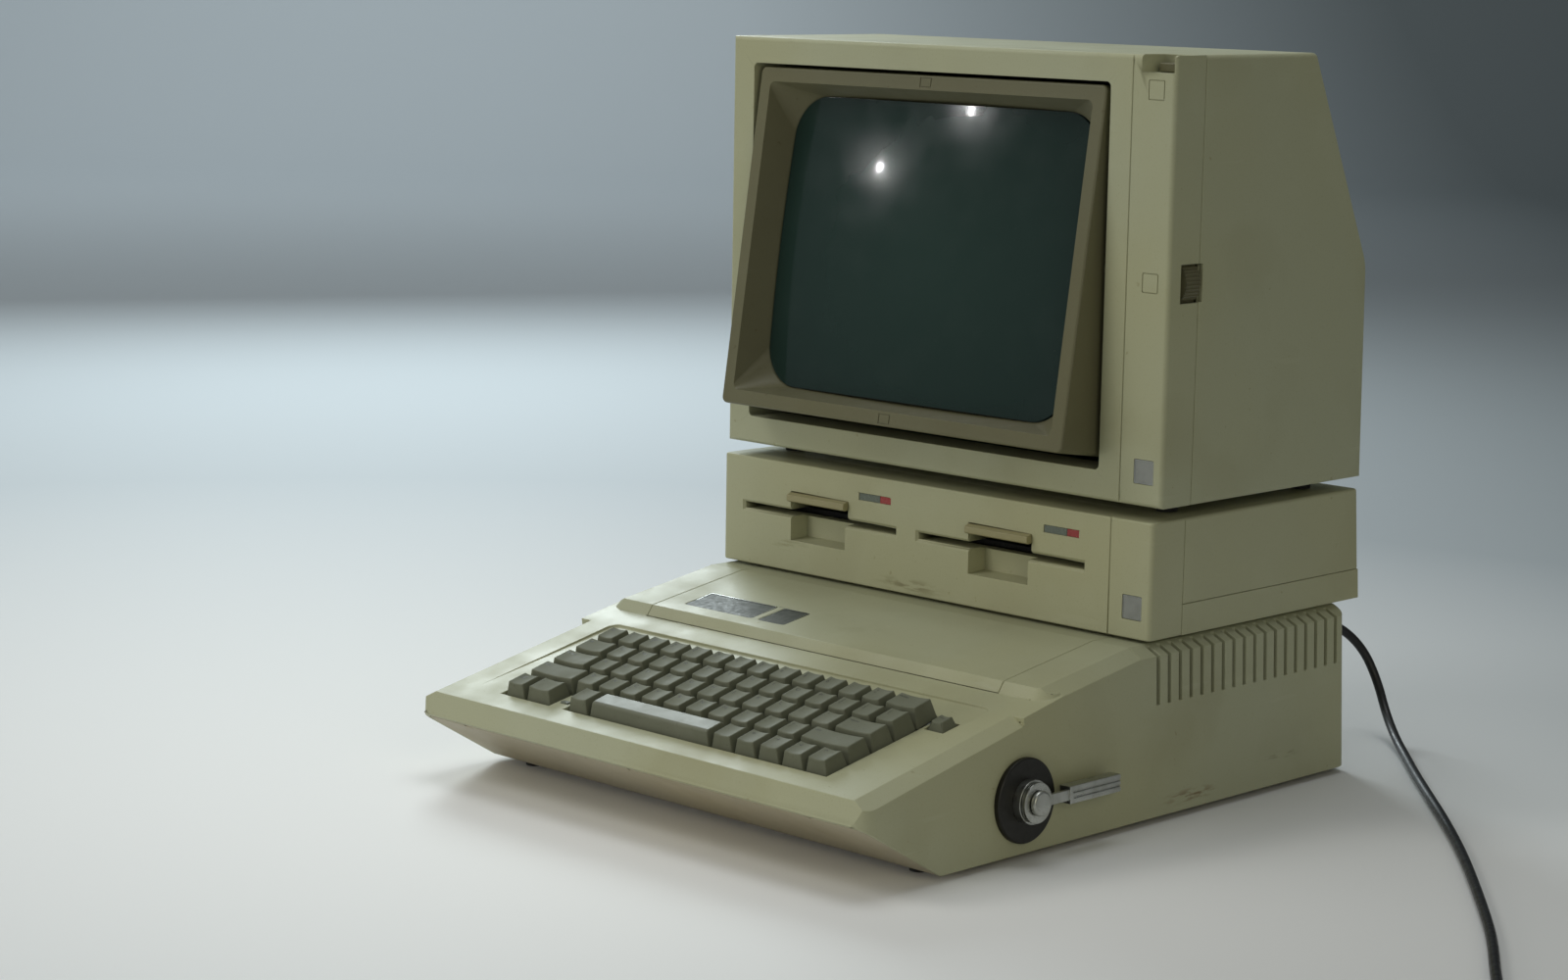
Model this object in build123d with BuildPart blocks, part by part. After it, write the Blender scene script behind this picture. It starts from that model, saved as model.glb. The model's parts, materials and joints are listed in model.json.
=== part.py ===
from build123d import *
from math import atan2, cos, degrees, hypot, radians, sin, tan
import os

os.makedirs("parts", exist_ok=True)

# A home computer of about 1983: system unit with its keyboard, twin disk unit and 12 inch monitor.
# Millimetres. +Z is up, the front faces -Y, and the origin is on the table under the middle.
# "run" is a distance behind the computer's nose.

# ---------------------------------------------------------------- driving sizes
gap = 0.3
seam = 0.6
shaft_play = 0.06

# System unit
case_width = 384.0
case_depth = 456.0
case_wall = 3.0
case_bottom = 3.8
case_draft = 2.3
corner_radius = 13.0
chin_run = 64.0
chin_notches = (3, 148.0)
chin_notch = (7.0, 2.6)
nose_low = 41.5
nose_top = 55.4
nose_lean = 5.0
nose_round = 3.5
deck_angle = 12.0
step_run = 157.0
step_rise = 6.8
step_lean = 5.0
step_corner = 14.0
flat_run = 243.0
flat_top = 107.4
lid_width = 300.0
lid_rear_lip = 12.0
ledge_width = 6.0
ledge_thick = 2.0
bevel_width = 11.0
bevel_drop = 5.5
bevel_end_run = 135.0
recess_left = 32.0 - case_width / 2
recess_right = case_width / 2 - 29.0
recess_front_run = 25.0
recess_rear_run = 138.0
recess_depth = 1.5
recess_corner = 7.0

vent_count = 18
vent_pitch = 10.6
vent_width = 3.2
vent_from_rear = 16.8
vent_bottom = 72.0
vent_reach = 9.0

foot_radius = 6.5
foot_inset = 27.0
foot_front_run = 75.0
foot_rear_run = case_depth - 28.0
foot_post = 3.0
screw_head = 1.6
pan_thick = 2.0
pan_inset = 0.6

rear_sill = 12.0
rear_opening = case_width - 48.0
rear_opening_height = 76.0
boss_radius = 6.0
boss_height = 26.0
boss_runs = (104.0, 250.0, case_depth - 36.0)
screw_radius = 1.7
name_plate_up = 24.0
name_plate_width = 25.5
name_plate_depth = 1.0
name_plate_gap = 5.5
name_plate_lengths = (61.0, 23.0)
name_plate_left = -132.0

# Inside the system unit
post_radius = 3.5
board_lift = 6.0
board_thick = 1.6
board_from_flank = 25.0
board_from_supply = 12.0
board_from_rear = 18.0
board_depth = 216.0
board_hole = 1.6
slot_count = 8
slot_pitch = 20.3
socket_size = (9.0, 82.0, 13.0)
chip_size = (7.0, 19.0, 4.0)
chip_pitch = (16.0, 26.0)
speaker_radius = 28.0
speaker_depth = 16.0
speaker_from_flank = 62.0
speaker_run = 170.0
supply_width = 74.0
supply_x = case_width / 2 - 60.0
supply_front_run = case_depth - 224.0
supply_height = 86.0
supply_plate = 1.5
supply_slots = 9
inlet_width = 27.0
inlet_height = 19.0
inlet_depth = 22.0
panel_thick = 1.5
port_width = 30.0
port_height = 13.0
port_columns = 6
port_pitch = 38.0
switch_width = 12.0
switch_height = 20.0
switch_x = supply_x + 18.0
switch_z = 52.0
switch_wall = 2.0
switch_depth = 12.0
rocker_crown = 3.2
rocker_axis_in = 3.0
rocker_pin = 1.2

# Keyboard
key_unit = 19.05
key_slope = 14.3
keys_wide = 14.5
keys_left = -135.5
row_one_run = 104.0
key_top = 87.4
key_height = 12.5
key_base = 18.2
key_crown_width = 13.0
key_crown_depth = 14.0
key_crown_shift = 1.2
key_shell = 1.5
key_dish = 0.9
key_stem = 4.0
housing_size = 10.0
housing_top = 8.6
plate_below = 17.0
plate_thick = 1.6
plate_border = 6.0
field_gap = 1.0
filler_from = 2.3
filler_to = 2.95
reset_column = 15.05
reset_size = 13.0
reset_below = 7.0
reset_height = 6.5
reset_housing = 6.2
reset_housing_top = 13.5
reset_stem_end = 14.2
lamp_width = 7.0
lamp_depth = 4.0

# Disk unit
drive_width = 363.6
drive_run = case_depth - 199.1
drive_bottom = 109.4
drive_height = 71.8
drive_front_depth = 31.2
drive_depth = 214.7
drive_rear_lean = 6.3
drive_wall = 2.5
pan_height = 19.2
slot_length = 136.0
slot_height = 4.4
slot_z = 148.2
slot_centres = (-94.5, 61.0)
notch_width = 49.0
notch_drop = 17.0
notch_depth = 14.0
latch_width = 52.0
latch_height = 14.5
latch_pivot_in = 6.0
latch_pivot_drop = 3.0
latch_out = 4.5
trunnion_radius = 1.5
trunnion_reach = 3.0
slot_lip = 1.6
badge_shift = 18.0
badge_up = 19.0
lens_width = 28.0
lens_height = 4.6
lens_offset = 50.2
lens_z = 167.2
drive_foot_height = 1.7
drive_foot_x = 132.0
drive_foot_runs = (drive_run + 19.1, drive_run + 179.1)
chassis_height = 60.0
chassis_plate = 3.0
chassis_depth = 150.0
motor_radius = 26.0
motor_height = 14.0
cover_round = 2.0
lamp_share = 9.8
strip_groove = 149.6
groove_width = 1.0
groove_depth = 1.2
badge_size = 15.0
badge_depth = 0.8

# Monitor
monitor_width = 367.4
monitor_run = drive_run + 4.4
monitor_bottom = 189.4
monitor_height = 268.0
monitor_front_depth = 28.7
monitor_side_depth = 202.7
monitor_top_depth = 137.4
knee_height = 136.0
knee_back = 3.4
knee_round = 30.0
monitor_wall = 3.0
monitor_round = 3.0
mouth_left = -164.0
mouth_right = 135.0
mouth_low = 18.2
mouth_high = 251.0
monitor_foot_height = 7.7
monitor_groove = 151.6
neck_reach = 56.0
neck_width = 176.0
neck_low = 34.0
neck_high = 200.0
power_notch_width = 24.0
power_notch_height = 10.6
power_notch_depth = 21.0
button_travel = 3.0
button_width = 18.0
button_height = 5.5
button_set_back = 10.0
button_from_side = 2.8
button_stem = (8.0, 3.4)
button_stem_shift = 4.0
wheel_radius = 15.0
wheel_thick = 14.0
wheel_proud = 1.6
wheel_height = 133.7
wheel_back = 21.8
wheel_shaft = 2.5
wheel_notch = (21.0, 23.0)
monitor_foot_x = 158.0
monitor_foot_runs = (drive_run + 43.1, drive_run + 179.1)
icon_size = 12.0
icon_line = 0.6
icon_x = 169.5
icon_heights = (134.0, 247.5)

# Tilting screen
tilt_rest = 8.6
tilt_pivot_run = monitor_run + 8.7
tilt_pivot_z = 329.0
tilt_pin = 4.0
screen_x = -14.5
bezel_width = 290.0
bezel_height = 221.0
bezel_drop = 3.3
bezel_proud = 22.5
bezel_depth = 58.0
bezel_border = 9.5
bezel_wall = 2.5
glass_width = 255.0
glass_height = 190.0
glass_corner = 26.0
glass_set_back = 22.0
glass_bulge = 9.0
glass_thick = 4.0
funnel_length = 120.0
neck_radius = 14.5
neck_length = 62.0
yoke_radius = 34.0
yoke_length = 34.0
socket_board = 56.0
socket_depth = 12.0
monitor_board_size = (240.0, 110.0)
monitor_board_back = 90.0

# Side lock
lock_run = 134.0
lock_z = 35.5
lock_disc_radius = 25.0
lock_disc_thick = 3.6
lock_collar_radius = 13.0
lock_collar_length = 9.0
lock_cap_radius = 7.5
lock_cap_thick = 3.0
lock_cap_round = 1.6
lock_bolt_radius = 5.0
lever_neck_height = 6.4
lever_bar_start = 27.0
lever_bar_end = 74.0
lever_bar_height = 10.4
lever_bar_thick = 8.0

# Mains cord
cord_diameter = 6.0
cord_x = supply_x - 10.0
cord_z = 80.0
connector_size = (26.0, 18.0)
connector_length = 16.0
connector_insert = 15.0
relief_length = 26.0
relief_radius = 6.6
cord_rise = 0.2
# Points of its route after the connector: out and down behind the case, then forward along the table
cord_points = [
    (122.0, 252.0, 79.5),
    (126.0, 274.0, 73.0),
    (134.0, 290.0, 57.0),
    (144.0, 293.5, 36.0),
    (157.0, 286.0, 17.0),
    (178.0, 268.0, 6.0),
    (201.0, 245.0, 3.2),
    (231.0, 211.0, 3.2),
    (270.0, 168.8, 3.2),
    (319.0, 116.2, 3.2),
    (370.6, 56.8, 3.2),
    (422.7, -7.7, 3.2),
    (466.6, -63.7, 3.2),
    (508.8, -126.1, 3.2),
    (540.0, -166.0, 3.2),
    (561.4, -204.5, 3.2),
]
coil_x = 534.0
coil_y = -223.0
coil_diameter = 66.0
coil_columns = 3
coil_layers = 2
plug_turn = 190.0
plug_start = 8.0
plug_tail = 24.0
plug_size = (24.0, 17.0)
plug_length = 32.0
blade_size = (1.5, 6.3)
blade_length = 17.0
blade_spacing = 12.7


# ---------------------------------------------------------------- shared places
overall_depth = monitor_run + monitor_side_depth + neck_reach
front = -overall_depth / 2


def y_at(run):
    """y of a place that lies run behind the nose."""
    return front + run


def deck_z(run):
    """Height of the sloping deck around the keyboard."""
    return nose_top + (run - nose_lean) * tan(radians(deck_angle))


def flank_x(z):
    """Half width of the case at a height: its sides draw in towards the top."""
    return case_width / 2 - z * tan(radians(case_draft))


# The parts are modelled about the case's middle. The origin lies under the middle of the whole width,
# from the left flank's foot to the lock's cap.
lock_reach = (lock_disc_thick + lock_collar_length + lock_cap_thick) * cos(radians(case_draft))
lock_reach += (lock_cap_radius - lock_cap_round) * sin(radians(case_draft))
origin_x = (flank_x(lock_z) + lock_reach - flank_x(case_bottom)) / 2


def keep(node, name):
    """Names a finished part and writes it in the frame of the whole object."""
    node.part.label = name
    export_step(node.part.moved(Location((-origin_x, 0, 0))), f"parts/{name}.step")


side = Plane.YZ
step_top = deck_z(step_run) + step_rise
case_profile = [
    (y_at(chin_run), case_bottom),
    (y_at(0), nose_low),
    (y_at(nose_lean), nose_top),
    (y_at(step_run), deck_z(step_run)),
    (y_at(step_run + step_lean), step_top),
    (y_at(flat_run), flat_top),
    (y_at(case_depth), flat_top),
    (y_at(case_depth), case_bottom),
]

# The same outline with its chin and bottom let down, so that what is cut inside it stays open below.
open_below = 14.0
open_profile = [
    (y_at(chin_run), case_bottom - open_below),
    (y_at(-nose_lean), nose_low - open_below),
    *case_profile[2:7],
    (y_at(case_depth), case_bottom - open_below),
]

plan_front = y_at(0) - nose_low * tan(radians(case_draft))
plan_depth = y_at(case_depth) - plan_front
plan_y = plan_front + plan_depth / 2


def case_block(inset, profile):
    """The case's outer form, or its inside at a distance from it: side outline and drawn-in plan."""
    with BuildPart(mode=Mode.PRIVATE) as block:
        with BuildSketch(side):
            with BuildLine():
                Polyline(*profile, close=True)
            make_face()
            if inset:
                offset(amount=-inset, kind=Kind.INTERSECTION)
        extrude(amount=case_width, both=True)
        with BuildSketch(Plane((0, plan_y, 0))):
            RectangleRounded(
                case_width - 2 * inset, plan_depth - 2 * inset, corner_radius - inset
            )
        extrude(amount=flat_top + open_below, taper=case_draft, mode=Mode.INTERSECT)
    return block.part


lid_slope = Plane(
    origin=(0, y_at(step_run + step_lean), step_top),
    x_dir=(1, 0, 0),
    z_dir=Vector(0, step_top - flat_top, flat_run - step_run - step_lean),
)
plate_edges = [name_plate_left]
for plate_length in name_plate_lengths:
    plate_edges.append(plate_edges[-1] + plate_length + name_plate_gap)
name_plate_places = [
    (edge + plate_length / 2, plate_length)
    for edge, plate_length in zip(plate_edges, name_plate_lengths)
]


# Frame of the key tops: x to the right, y up the slope, z out of the keys.
key_plane = Plane(
    origin=(keys_left, y_at(row_one_run), key_top),
    x_dir=(1, 0, 0),
    z_dir=(0, -sin(radians(key_slope)), cos(radians(key_slope))),
)


def key_place(column, row):
    """Point in the key frame: columns in key units from the left edge, rows counted downwards."""
    return column * key_unit, -row * key_unit


# ---------------------------------------------------------------- upper case and lid
rear_lean = flat_top * tan(radians(case_draft))
lid_wall_run = case_depth - case_wall - rear_lean - 1.0
ledge_end_run = lid_wall_run - 6.0
ledge_top = case_wall + gap
ledge_low = ledge_top + ledge_thick
boss_x = flank_x(case_bottom) - case_wall - 5.0


def lid_region(shrink):
    """Space of the lid between its side seams, from the foot of the step to its rear lip."""
    low = deck_z(step_run) - case_wall + shrink
    lip = flat_top - lid_rear_lip + shrink
    start = y_at(step_run) + shrink
    inside = y_at(lid_wall_run)
    end = y_at(case_depth) + 1
    with BuildPart(mode=Mode.PRIVATE) as region:
        with BuildSketch(side):
            with BuildLine():
                Polyline(
                    (start, low), (inside, low), (inside, lip), (end, lip),
                    (end, flat_top + 1), (start, flat_top + 1), close=True,
                )
            make_face()
        extrude(amount=lid_width / 2 - shrink, both=True)
    return region.part


def layer(outer, inner, plan):
    """Part of the wall between two distances inside the case's form, cut to a plan sketch."""
    with BuildPart(mode=Mode.PRIVATE) as band:
        add(case_block(outer, open_profile))
        add(case_block(inner, open_profile), mode=Mode.SUBTRACT)
        with BuildSketch() as outline:
            add(plan)
        extrude(amount=flat_top, mode=Mode.INTERSECT)
    return band.part


def edge_strip(inner_x, outer_x, run_a, run_b, run_end):
    """Plan of a strip that follows the lid's two sides and its front edge."""
    with BuildSketch(mode=Mode.PRIVATE) as plan:
        with Locations((0, y_at((run_a + run_end) / 2))):
            Rectangle(2 * outer_x, run_end - run_a)
        with Locations((0, y_at((run_b + run_end + 10) / 2))):
            Rectangle(2 * inner_x, run_end + 10 - run_b, mode=Mode.SUBTRACT)
    return plan.sketch


def bevel_cutter(inset=0.0):
    """Wedges along both long edges of the deck and of the flat top, or parallel ones further in."""
    grown = inset * hypot(bevel_width, bevel_drop)
    wide = bevel_width + grown / bevel_drop
    drop = bevel_drop + grown / bevel_width
    with BuildPart(mode=Mode.PRIVATE) as wedges:
        for start, end in (
            ((-20, deck_z(-20)), (bevel_end_run, deck_z(bevel_end_run))),
            ((step_run + step_lean, step_top), (flat_run, flat_top)),
            ((flat_run, flat_top), (case_depth + 20, flat_top)),
        ):
            along = Vector(0, end[0] - start[0], end[1] - start[1])
            for hand in (-1, 1):
                across = Plane(
                    origin=(hand * flank_x(start[1]), y_at(start[0]), start[1]),
                    x_dir=(1, 0, 0),
                    z_dir=along,
                )
                down = across.y_dir.Z * 2 * drop
                with BuildSketch(across):
                    with BuildLine():
                        Polyline(
                            (-hand * wide, 0),
                            (hand * wide, down),
                            (hand * wide, -down),
                            close=True,
                        )
                    make_face()
                extrude(amount=along.length)
    return wedges.part


def corner_cutter(inset=0.0):
    """What lies outside the round front corners of the raised part, or of its inside further in."""
    foot_z = deck_z(step_run)
    high = foot_z + 2 * step_rise
    drop = inset / cos(radians(deck_angle))
    centre_x = flank_x(step_top) - step_corner
    centre_run = step_run + step_corner
    lean = degrees(atan2(step_lean, step_rise))
    with BuildPart(mode=Mode.PRIVATE) as corners:
        for hand in (-1, 1):
            with BuildSketch(side.offset(hand * centre_x)):
                with BuildLine():
                    Polyline(
                        (y_at(step_run - step_lean), deck_z(step_run - step_lean) - drop),
                        (y_at(centre_run), deck_z(centre_run) - drop),
                        (y_at(centre_run), high),
                        (y_at(step_run - step_lean), high),
                        close=True,
                    )
                make_face()
            extrude(amount=hand * 2 * step_corner)
        with BuildSketch(Plane.XY.offset(foot_z - drop)):
            with Locations(*[(hand * centre_x, y_at(centre_run)) for hand in (-1, 1)]):
                Circle(step_corner - inset + drop * step_lean / step_rise)
        extrude(amount=high - foot_z + drop, taper=lean, mode=Mode.SUBTRACT)
    return corners.part


def key_field(margin, depth):
    """Hole in the deck that the keys stand in, without the small fixed plate beside the space bar."""
    wide = keys_wide * key_unit
    deep = 5 * key_unit
    filler = (filler_to - filler_from) * key_unit
    with BuildPart(mode=Mode.PRIVATE) as field:
        with BuildSketch(key_plane):
            with Locations((wide / 2, -2 * key_unit)):
                Rectangle(wide + 2 * margin, deep + 2 * margin)
            with Locations(
                ((filler_from + filler_to) / 2 * key_unit, -4 * key_unit - margin)
            ):
                Rectangle(filler, key_unit, mode=Mode.SUBTRACT)
        extrude(amount=depth, both=True)
    return field.part


reset_centre = key_place(reset_column, 0)
lamp_run = row_one_run - 4 * key_unit * cos(radians(key_slope))
lamp_x = keys_left + (filler_from + filler_to) / 2 * key_unit
case_outer = case_block(0, case_profile)
case_inner = case_block(case_wall, open_profile) - bevel_cutter(case_wall)
case_inner -= corner_cutter(case_wall)
bevels = bevel_cutter()
step_corners = corner_cutter()
lid_hole = lid_region(0)
lid_space = lid_region(gap)
lid_ledge = layer(ledge_top, ledge_low, edge_strip(
    lid_width / 2 - ledge_width, lid_width / 2 + 3, step_run - 4,
    step_run + ledge_width, ledge_end_run))
lid_rib = layer(case_wall - 0.5, ledge_low, edge_strip(
    lid_width / 2 + gap, lid_width / 2 + 3, step_run - 4, step_run - gap, ledge_end_run))
keys_hole = key_field(field_gap, 26)


def deck_recess():
    """Shallow dish around the keys that deepens towards the step."""
    with BuildPart(mode=Mode.PRIVATE) as dish:
        with BuildSketch(side.offset(recess_left)):
            with BuildLine():
                Polyline(
                    (y_at(recess_front_run), deck_z(recess_front_run)),
                    (y_at(recess_rear_run), deck_z(recess_rear_run) - recess_depth),
                    (y_at(recess_rear_run), deck_z(recess_rear_run) + recess_corner),
                    (y_at(recess_front_run), deck_z(recess_front_run) + recess_corner),
                    close=True,
                )
            make_face()
        extrude(amount=recess_right - recess_left)
        fillet(dish.edges().filter_by(Axis.Z).group_by(Axis.Y)[-1], recess_corner)
    return dish.part


key_dish_cut = deck_recess()

with BuildPart() as upper_case:
    add(case_outer)
    nose_edges = upper_case.edges().filter_by(Axis.X).sort_by(Axis.Y)[:4]
    fillet(nose_edges.sort_by(Axis.Z)[-1], nose_round)
    add(case_inner, mode=Mode.SUBTRACT)
    add(bevels, mode=Mode.SUBTRACT)
    add(step_corners, mode=Mode.SUBTRACT)
    add(lid_hole, mode=Mode.SUBTRACT)
    # Ledge under the lid's edges, and the rib that carries it
    add(lid_ledge)
    add(lid_rib)
    add(keys_hole, mode=Mode.SUBTRACT)
    add(key_dish_cut, mode=Mode.SUBTRACT)
    with BuildSketch(key_plane):
        with Locations(reset_centre):
            Rectangle(reset_size + 2 * field_gap, reset_size + 2 * field_gap)
    extrude(amount=26, both=True, mode=Mode.SUBTRACT)
    with BuildSketch():
        with Locations((lamp_x, y_at(lamp_run))):
            Rectangle(lamp_width, lamp_depth)
    extrude(amount=flat_top, mode=Mode.SUBTRACT)
    # Ventilation slots over the shoulders
    vent_x = flank_x(flat_top) - vent_reach
    with BuildSketch(Plane.XY.offset(vent_bottom)):
        with Locations((0, y_at(case_depth - vent_from_rear - vent_pitch * (vent_count - 1) / 2))):
            with GridLocations(2 * vent_x + 30, vent_pitch, 2, vent_count):
                Rectangle(30, vent_width)
    extrude(amount=flat_top, mode=Mode.SUBTRACT)
    # Rear opening for the connector panel
    with BuildSketch(Plane.XY.offset(case_bottom + pan_thick + rear_sill)):
        with Locations((0, y_at(case_depth))):
            Rectangle(rear_opening, 2 * (case_wall + rear_lean) + 4)
    extrude(amount=rear_opening_height, mode=Mode.SUBTRACT)
    # Bosses for the screws that hold the base
    with BuildSketch(Plane.XY.offset(case_bottom + pan_thick + gap)):
        with Locations(*[(hand * boss_x, y_at(run)) for hand in (-1, 1) for run in boss_runs]):
            Circle(boss_radius)
            Circle(screw_radius + shaft_play, mode=Mode.SUBTRACT)
    extrude(amount=boss_height)
    # Hole for the lock's bolt
    with BuildSketch(Plane.YZ.offset(case_width / 2 - 12)):
        with Locations((y_at(lock_run), lock_z)):
            Circle(lock_bolt_radius + gap)
    extrude(amount=20, mode=Mode.SUBTRACT)
keep(upper_case, "upper_case")

with BuildPart() as lid:
    add(case_outer)
    add(case_inner, mode=Mode.SUBTRACT)
    add(lid_space, mode=Mode.INTERSECT)
    for plate_x, plate_length in name_plate_places:
        with BuildSketch(lid_slope):
            with Locations((plate_x, name_plate_up)):
                RectangleRounded(plate_length, name_plate_width, 2)
        extrude(amount=-name_plate_depth, mode=Mode.SUBTRACT)
keep(lid, "lid")

with BuildPart() as name_plates:
    for plate_x, plate_length in name_plate_places:
        with BuildSketch(lid_slope.offset(-name_plate_depth)):
            with Locations((plate_x, name_plate_up)):
                RectangleRounded(plate_length - gap, name_plate_width - gap, 2)
        extrude(amount=name_plate_depth - 0.2)
keep(name_plates, "name_plates")

# ---------------------------------------------------------------- base and what stands on it
pan_top = case_bottom + pan_thick
chin_fall = nose_low - case_bottom
chin_length = hypot(chin_run, chin_fall)
chin_up = (chin_fall / chin_length, chin_run / chin_length)
chin_bend = (chin_length - chin_run) / chin_fall * pan_thick
pan_front_run = case_wall + 1.5
pan_rear_run = case_depth - case_wall - 2.0
pan_front_z = nose_low - pan_front_run * chin_fall / chin_run
screw_places = [(hand * boss_x, y_at(run)) for hand in (-1, 1) for run in boss_runs]
foot_places = [
    (hand * (case_width / 2 - foot_inset), y_at(run))
    for hand in (-1, 1)
    for run in (foot_front_run, foot_rear_run)
]
supply_left = supply_x - supply_width / 2
board_left = board_from_flank - case_width / 2
board_width = supply_left - board_from_supply - board_left
board_x = board_left + board_width / 2
board_run = case_depth - board_from_rear - board_depth / 2
board_low = pan_top + board_lift
board_top = board_low + board_thick
board_post_grid = (board_width - 16, board_depth - 16, 2, 2)

with BuildPart() as base_pan:
    with BuildSketch(side):
        with BuildLine():
            Polyline(
                (y_at(pan_rear_run), case_bottom),
                (y_at(chin_run), case_bottom),
                (y_at(pan_front_run), pan_front_z),
                (
                    y_at(pan_front_run + chin_up[0] * pan_thick),
                    pan_front_z + chin_up[1] * pan_thick,
                ),
                (y_at(chin_run + chin_bend), pan_top),
                (y_at(pan_rear_run), pan_top),
                close=True,
            )
        make_face()
    extrude(amount=case_width / 2, both=True)
    add(case_block(case_wall + pan_inset, open_profile), mode=Mode.INTERSECT)
    with BuildSketch(Plane.XY.offset(pan_top)):
        with Locations((board_x, y_at(board_run))):
            with GridLocations(*board_post_grid):
                Circle(post_radius)
                Circle(board_hole, mode=Mode.SUBTRACT)
    extrude(amount=board_lift)
    with BuildSketch(Plane.XY.offset(case_bottom)):
        with Locations(*foot_places):
            Circle(foot_post + shaft_play)
        with Locations(*screw_places):
            Circle(screw_radius + shaft_play)
    extrude(amount=pan_thick, mode=Mode.SUBTRACT)
    # Notches for a screwdriver along the chin's upper edge
    with BuildSketch(Plane.XY):
        with Locations((0, y_at(pan_front_run))):
            with GridLocations(chin_notches[1], 1, chin_notches[0], 1):
                Rectangle(chin_notch[0], 2 * chin_notch[1])
    extrude(amount=nose_top, mode=Mode.SUBTRACT)
    # Cooling slots under the board
    with BuildSketch(Plane.XY.offset(case_bottom)):
        with Locations((board_x, y_at(board_run))):
            with GridLocations(9, 70, 14, 2):
                Rectangle(3, 50)
    extrude(amount=pan_thick, mode=Mode.SUBTRACT)
keep(base_pan, "base_pan")

with BuildPart() as feet:
    with BuildSketch():
        with Locations(*foot_places):
            Circle(foot_radius - 1)
    extrude(amount=case_bottom, taper=-degrees(atan2(1, case_bottom)))
    with BuildSketch(Plane.XY.offset(case_bottom)):
        with Locations(*foot_places):
            Circle(foot_post)
    extrude(amount=pan_thick)
keep(feet, "feet")

with BuildPart() as case_screws:
    with BuildSketch(Plane.XY.offset(case_bottom)):
        with Locations(*screw_places):
            Circle(screw_radius)
    extrude(amount=boss_height * 0.6)
    with BuildSketch(Plane.XY.offset(case_bottom)):
        with Locations(*screw_places):
            Circle(2 * screw_radius)
    extrude(amount=-screw_head)
keep(case_screws, "case_screws")

panel_right = supply_left - gap
panel_left = -rear_opening / 2 - 4.0


def rear_strip(x_a, x_b, near, far):
    """Upright slice behind the rear wall, between two heights and two distances from the outside."""
    with BuildPart(mode=Mode.PRIVATE) as strip:
        add(case_block(near, open_profile))
        add(case_block(far, open_profile), mode=Mode.SUBTRACT)
        with BuildSketch(Plane.XY.offset(pan_top + gap)):
            with Locations(((x_a + x_b) / 2, y_at(case_depth))):
                Rectangle(x_b - x_a, 60)
        extrude(amount=supply_height, mode=Mode.INTERSECT)
    return strip.part


with BuildPart() as rear_panel:
    add(rear_strip(panel_left, panel_right, case_wall + gap, case_wall + gap + panel_thick))
    with BuildSketch(Plane.XZ.offset(-y_at(case_depth))):
        with Locations(((panel_left + panel_right) / 2, 66)):
            with GridLocations(port_pitch, 1, port_columns, 1):
                RectangleRounded(port_width, port_height, 3)
        with Locations(((panel_left + panel_right) / 2, 38)):
            with GridLocations(port_pitch, 1, port_columns, 1):
                Circle(4.2)
    extrude(amount=20, both=True, mode=Mode.SUBTRACT)
keep(rear_panel, "rear_panel")

with BuildPart() as motherboard:
    with BuildSketch(Plane.XY.offset(board_low)):
        with Locations((board_x, y_at(board_run))):
            Rectangle(board_width, board_depth)
            with GridLocations(*board_post_grid):
                Circle(board_hole, mode=Mode.SUBTRACT)
    extrude(amount=board_thick)
keep(motherboard, "motherboard")

socket_x, socket_y, socket_z = socket_size
socket_run = board_run + board_depth / 2 - socket_y / 2 - 14
chip_x, chip_y, chip_z = chip_size
with BuildPart() as board_parts:
    with BuildSketch(Plane.XY.offset(board_top)):
        with Locations((board_x, y_at(socket_run))):
            with GridLocations(slot_pitch, 1, slot_count, 1):
                Rectangle(socket_x, socket_y)
    extrude(amount=socket_z)
    with BuildSketch(Plane.XY.offset(board_top + socket_z)):
        with Locations((board_x, y_at(socket_run))):
            with GridLocations(slot_pitch, 1, slot_count, 1):
                Rectangle(2, socket_y - 8)
    extrude(amount=-socket_z + 3, mode=Mode.SUBTRACT)
    with BuildSketch(Plane.XY.offset(board_top)):
        with Locations((board_x, y_at(board_run - board_depth / 4 + 4))):
            with GridLocations(*chip_pitch, 13, 3):
                Rectangle(chip_x, chip_y)
    extrude(amount=chip_z)
keep(board_parts, "board_parts")

speaker_place = (speaker_from_flank - case_width / 2, y_at(speaker_run))
with BuildPart() as speaker:
    with BuildSketch(Plane.XY.offset(pan_top)):
        with Locations(speaker_place):
            Circle(speaker_radius)
    extrude(amount=speaker_depth / 4)
    with BuildSketch(Plane.XY.offset(pan_top + speaker_depth / 4)):
        with Locations(speaker_place):
            Circle(speaker_radius - 2)
    extrude(amount=speaker_depth / 2, taper=45)
    fillet(speaker.edges().group_by(Axis.Z)[-1], 1)
keep(speaker, "speaker")

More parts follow.
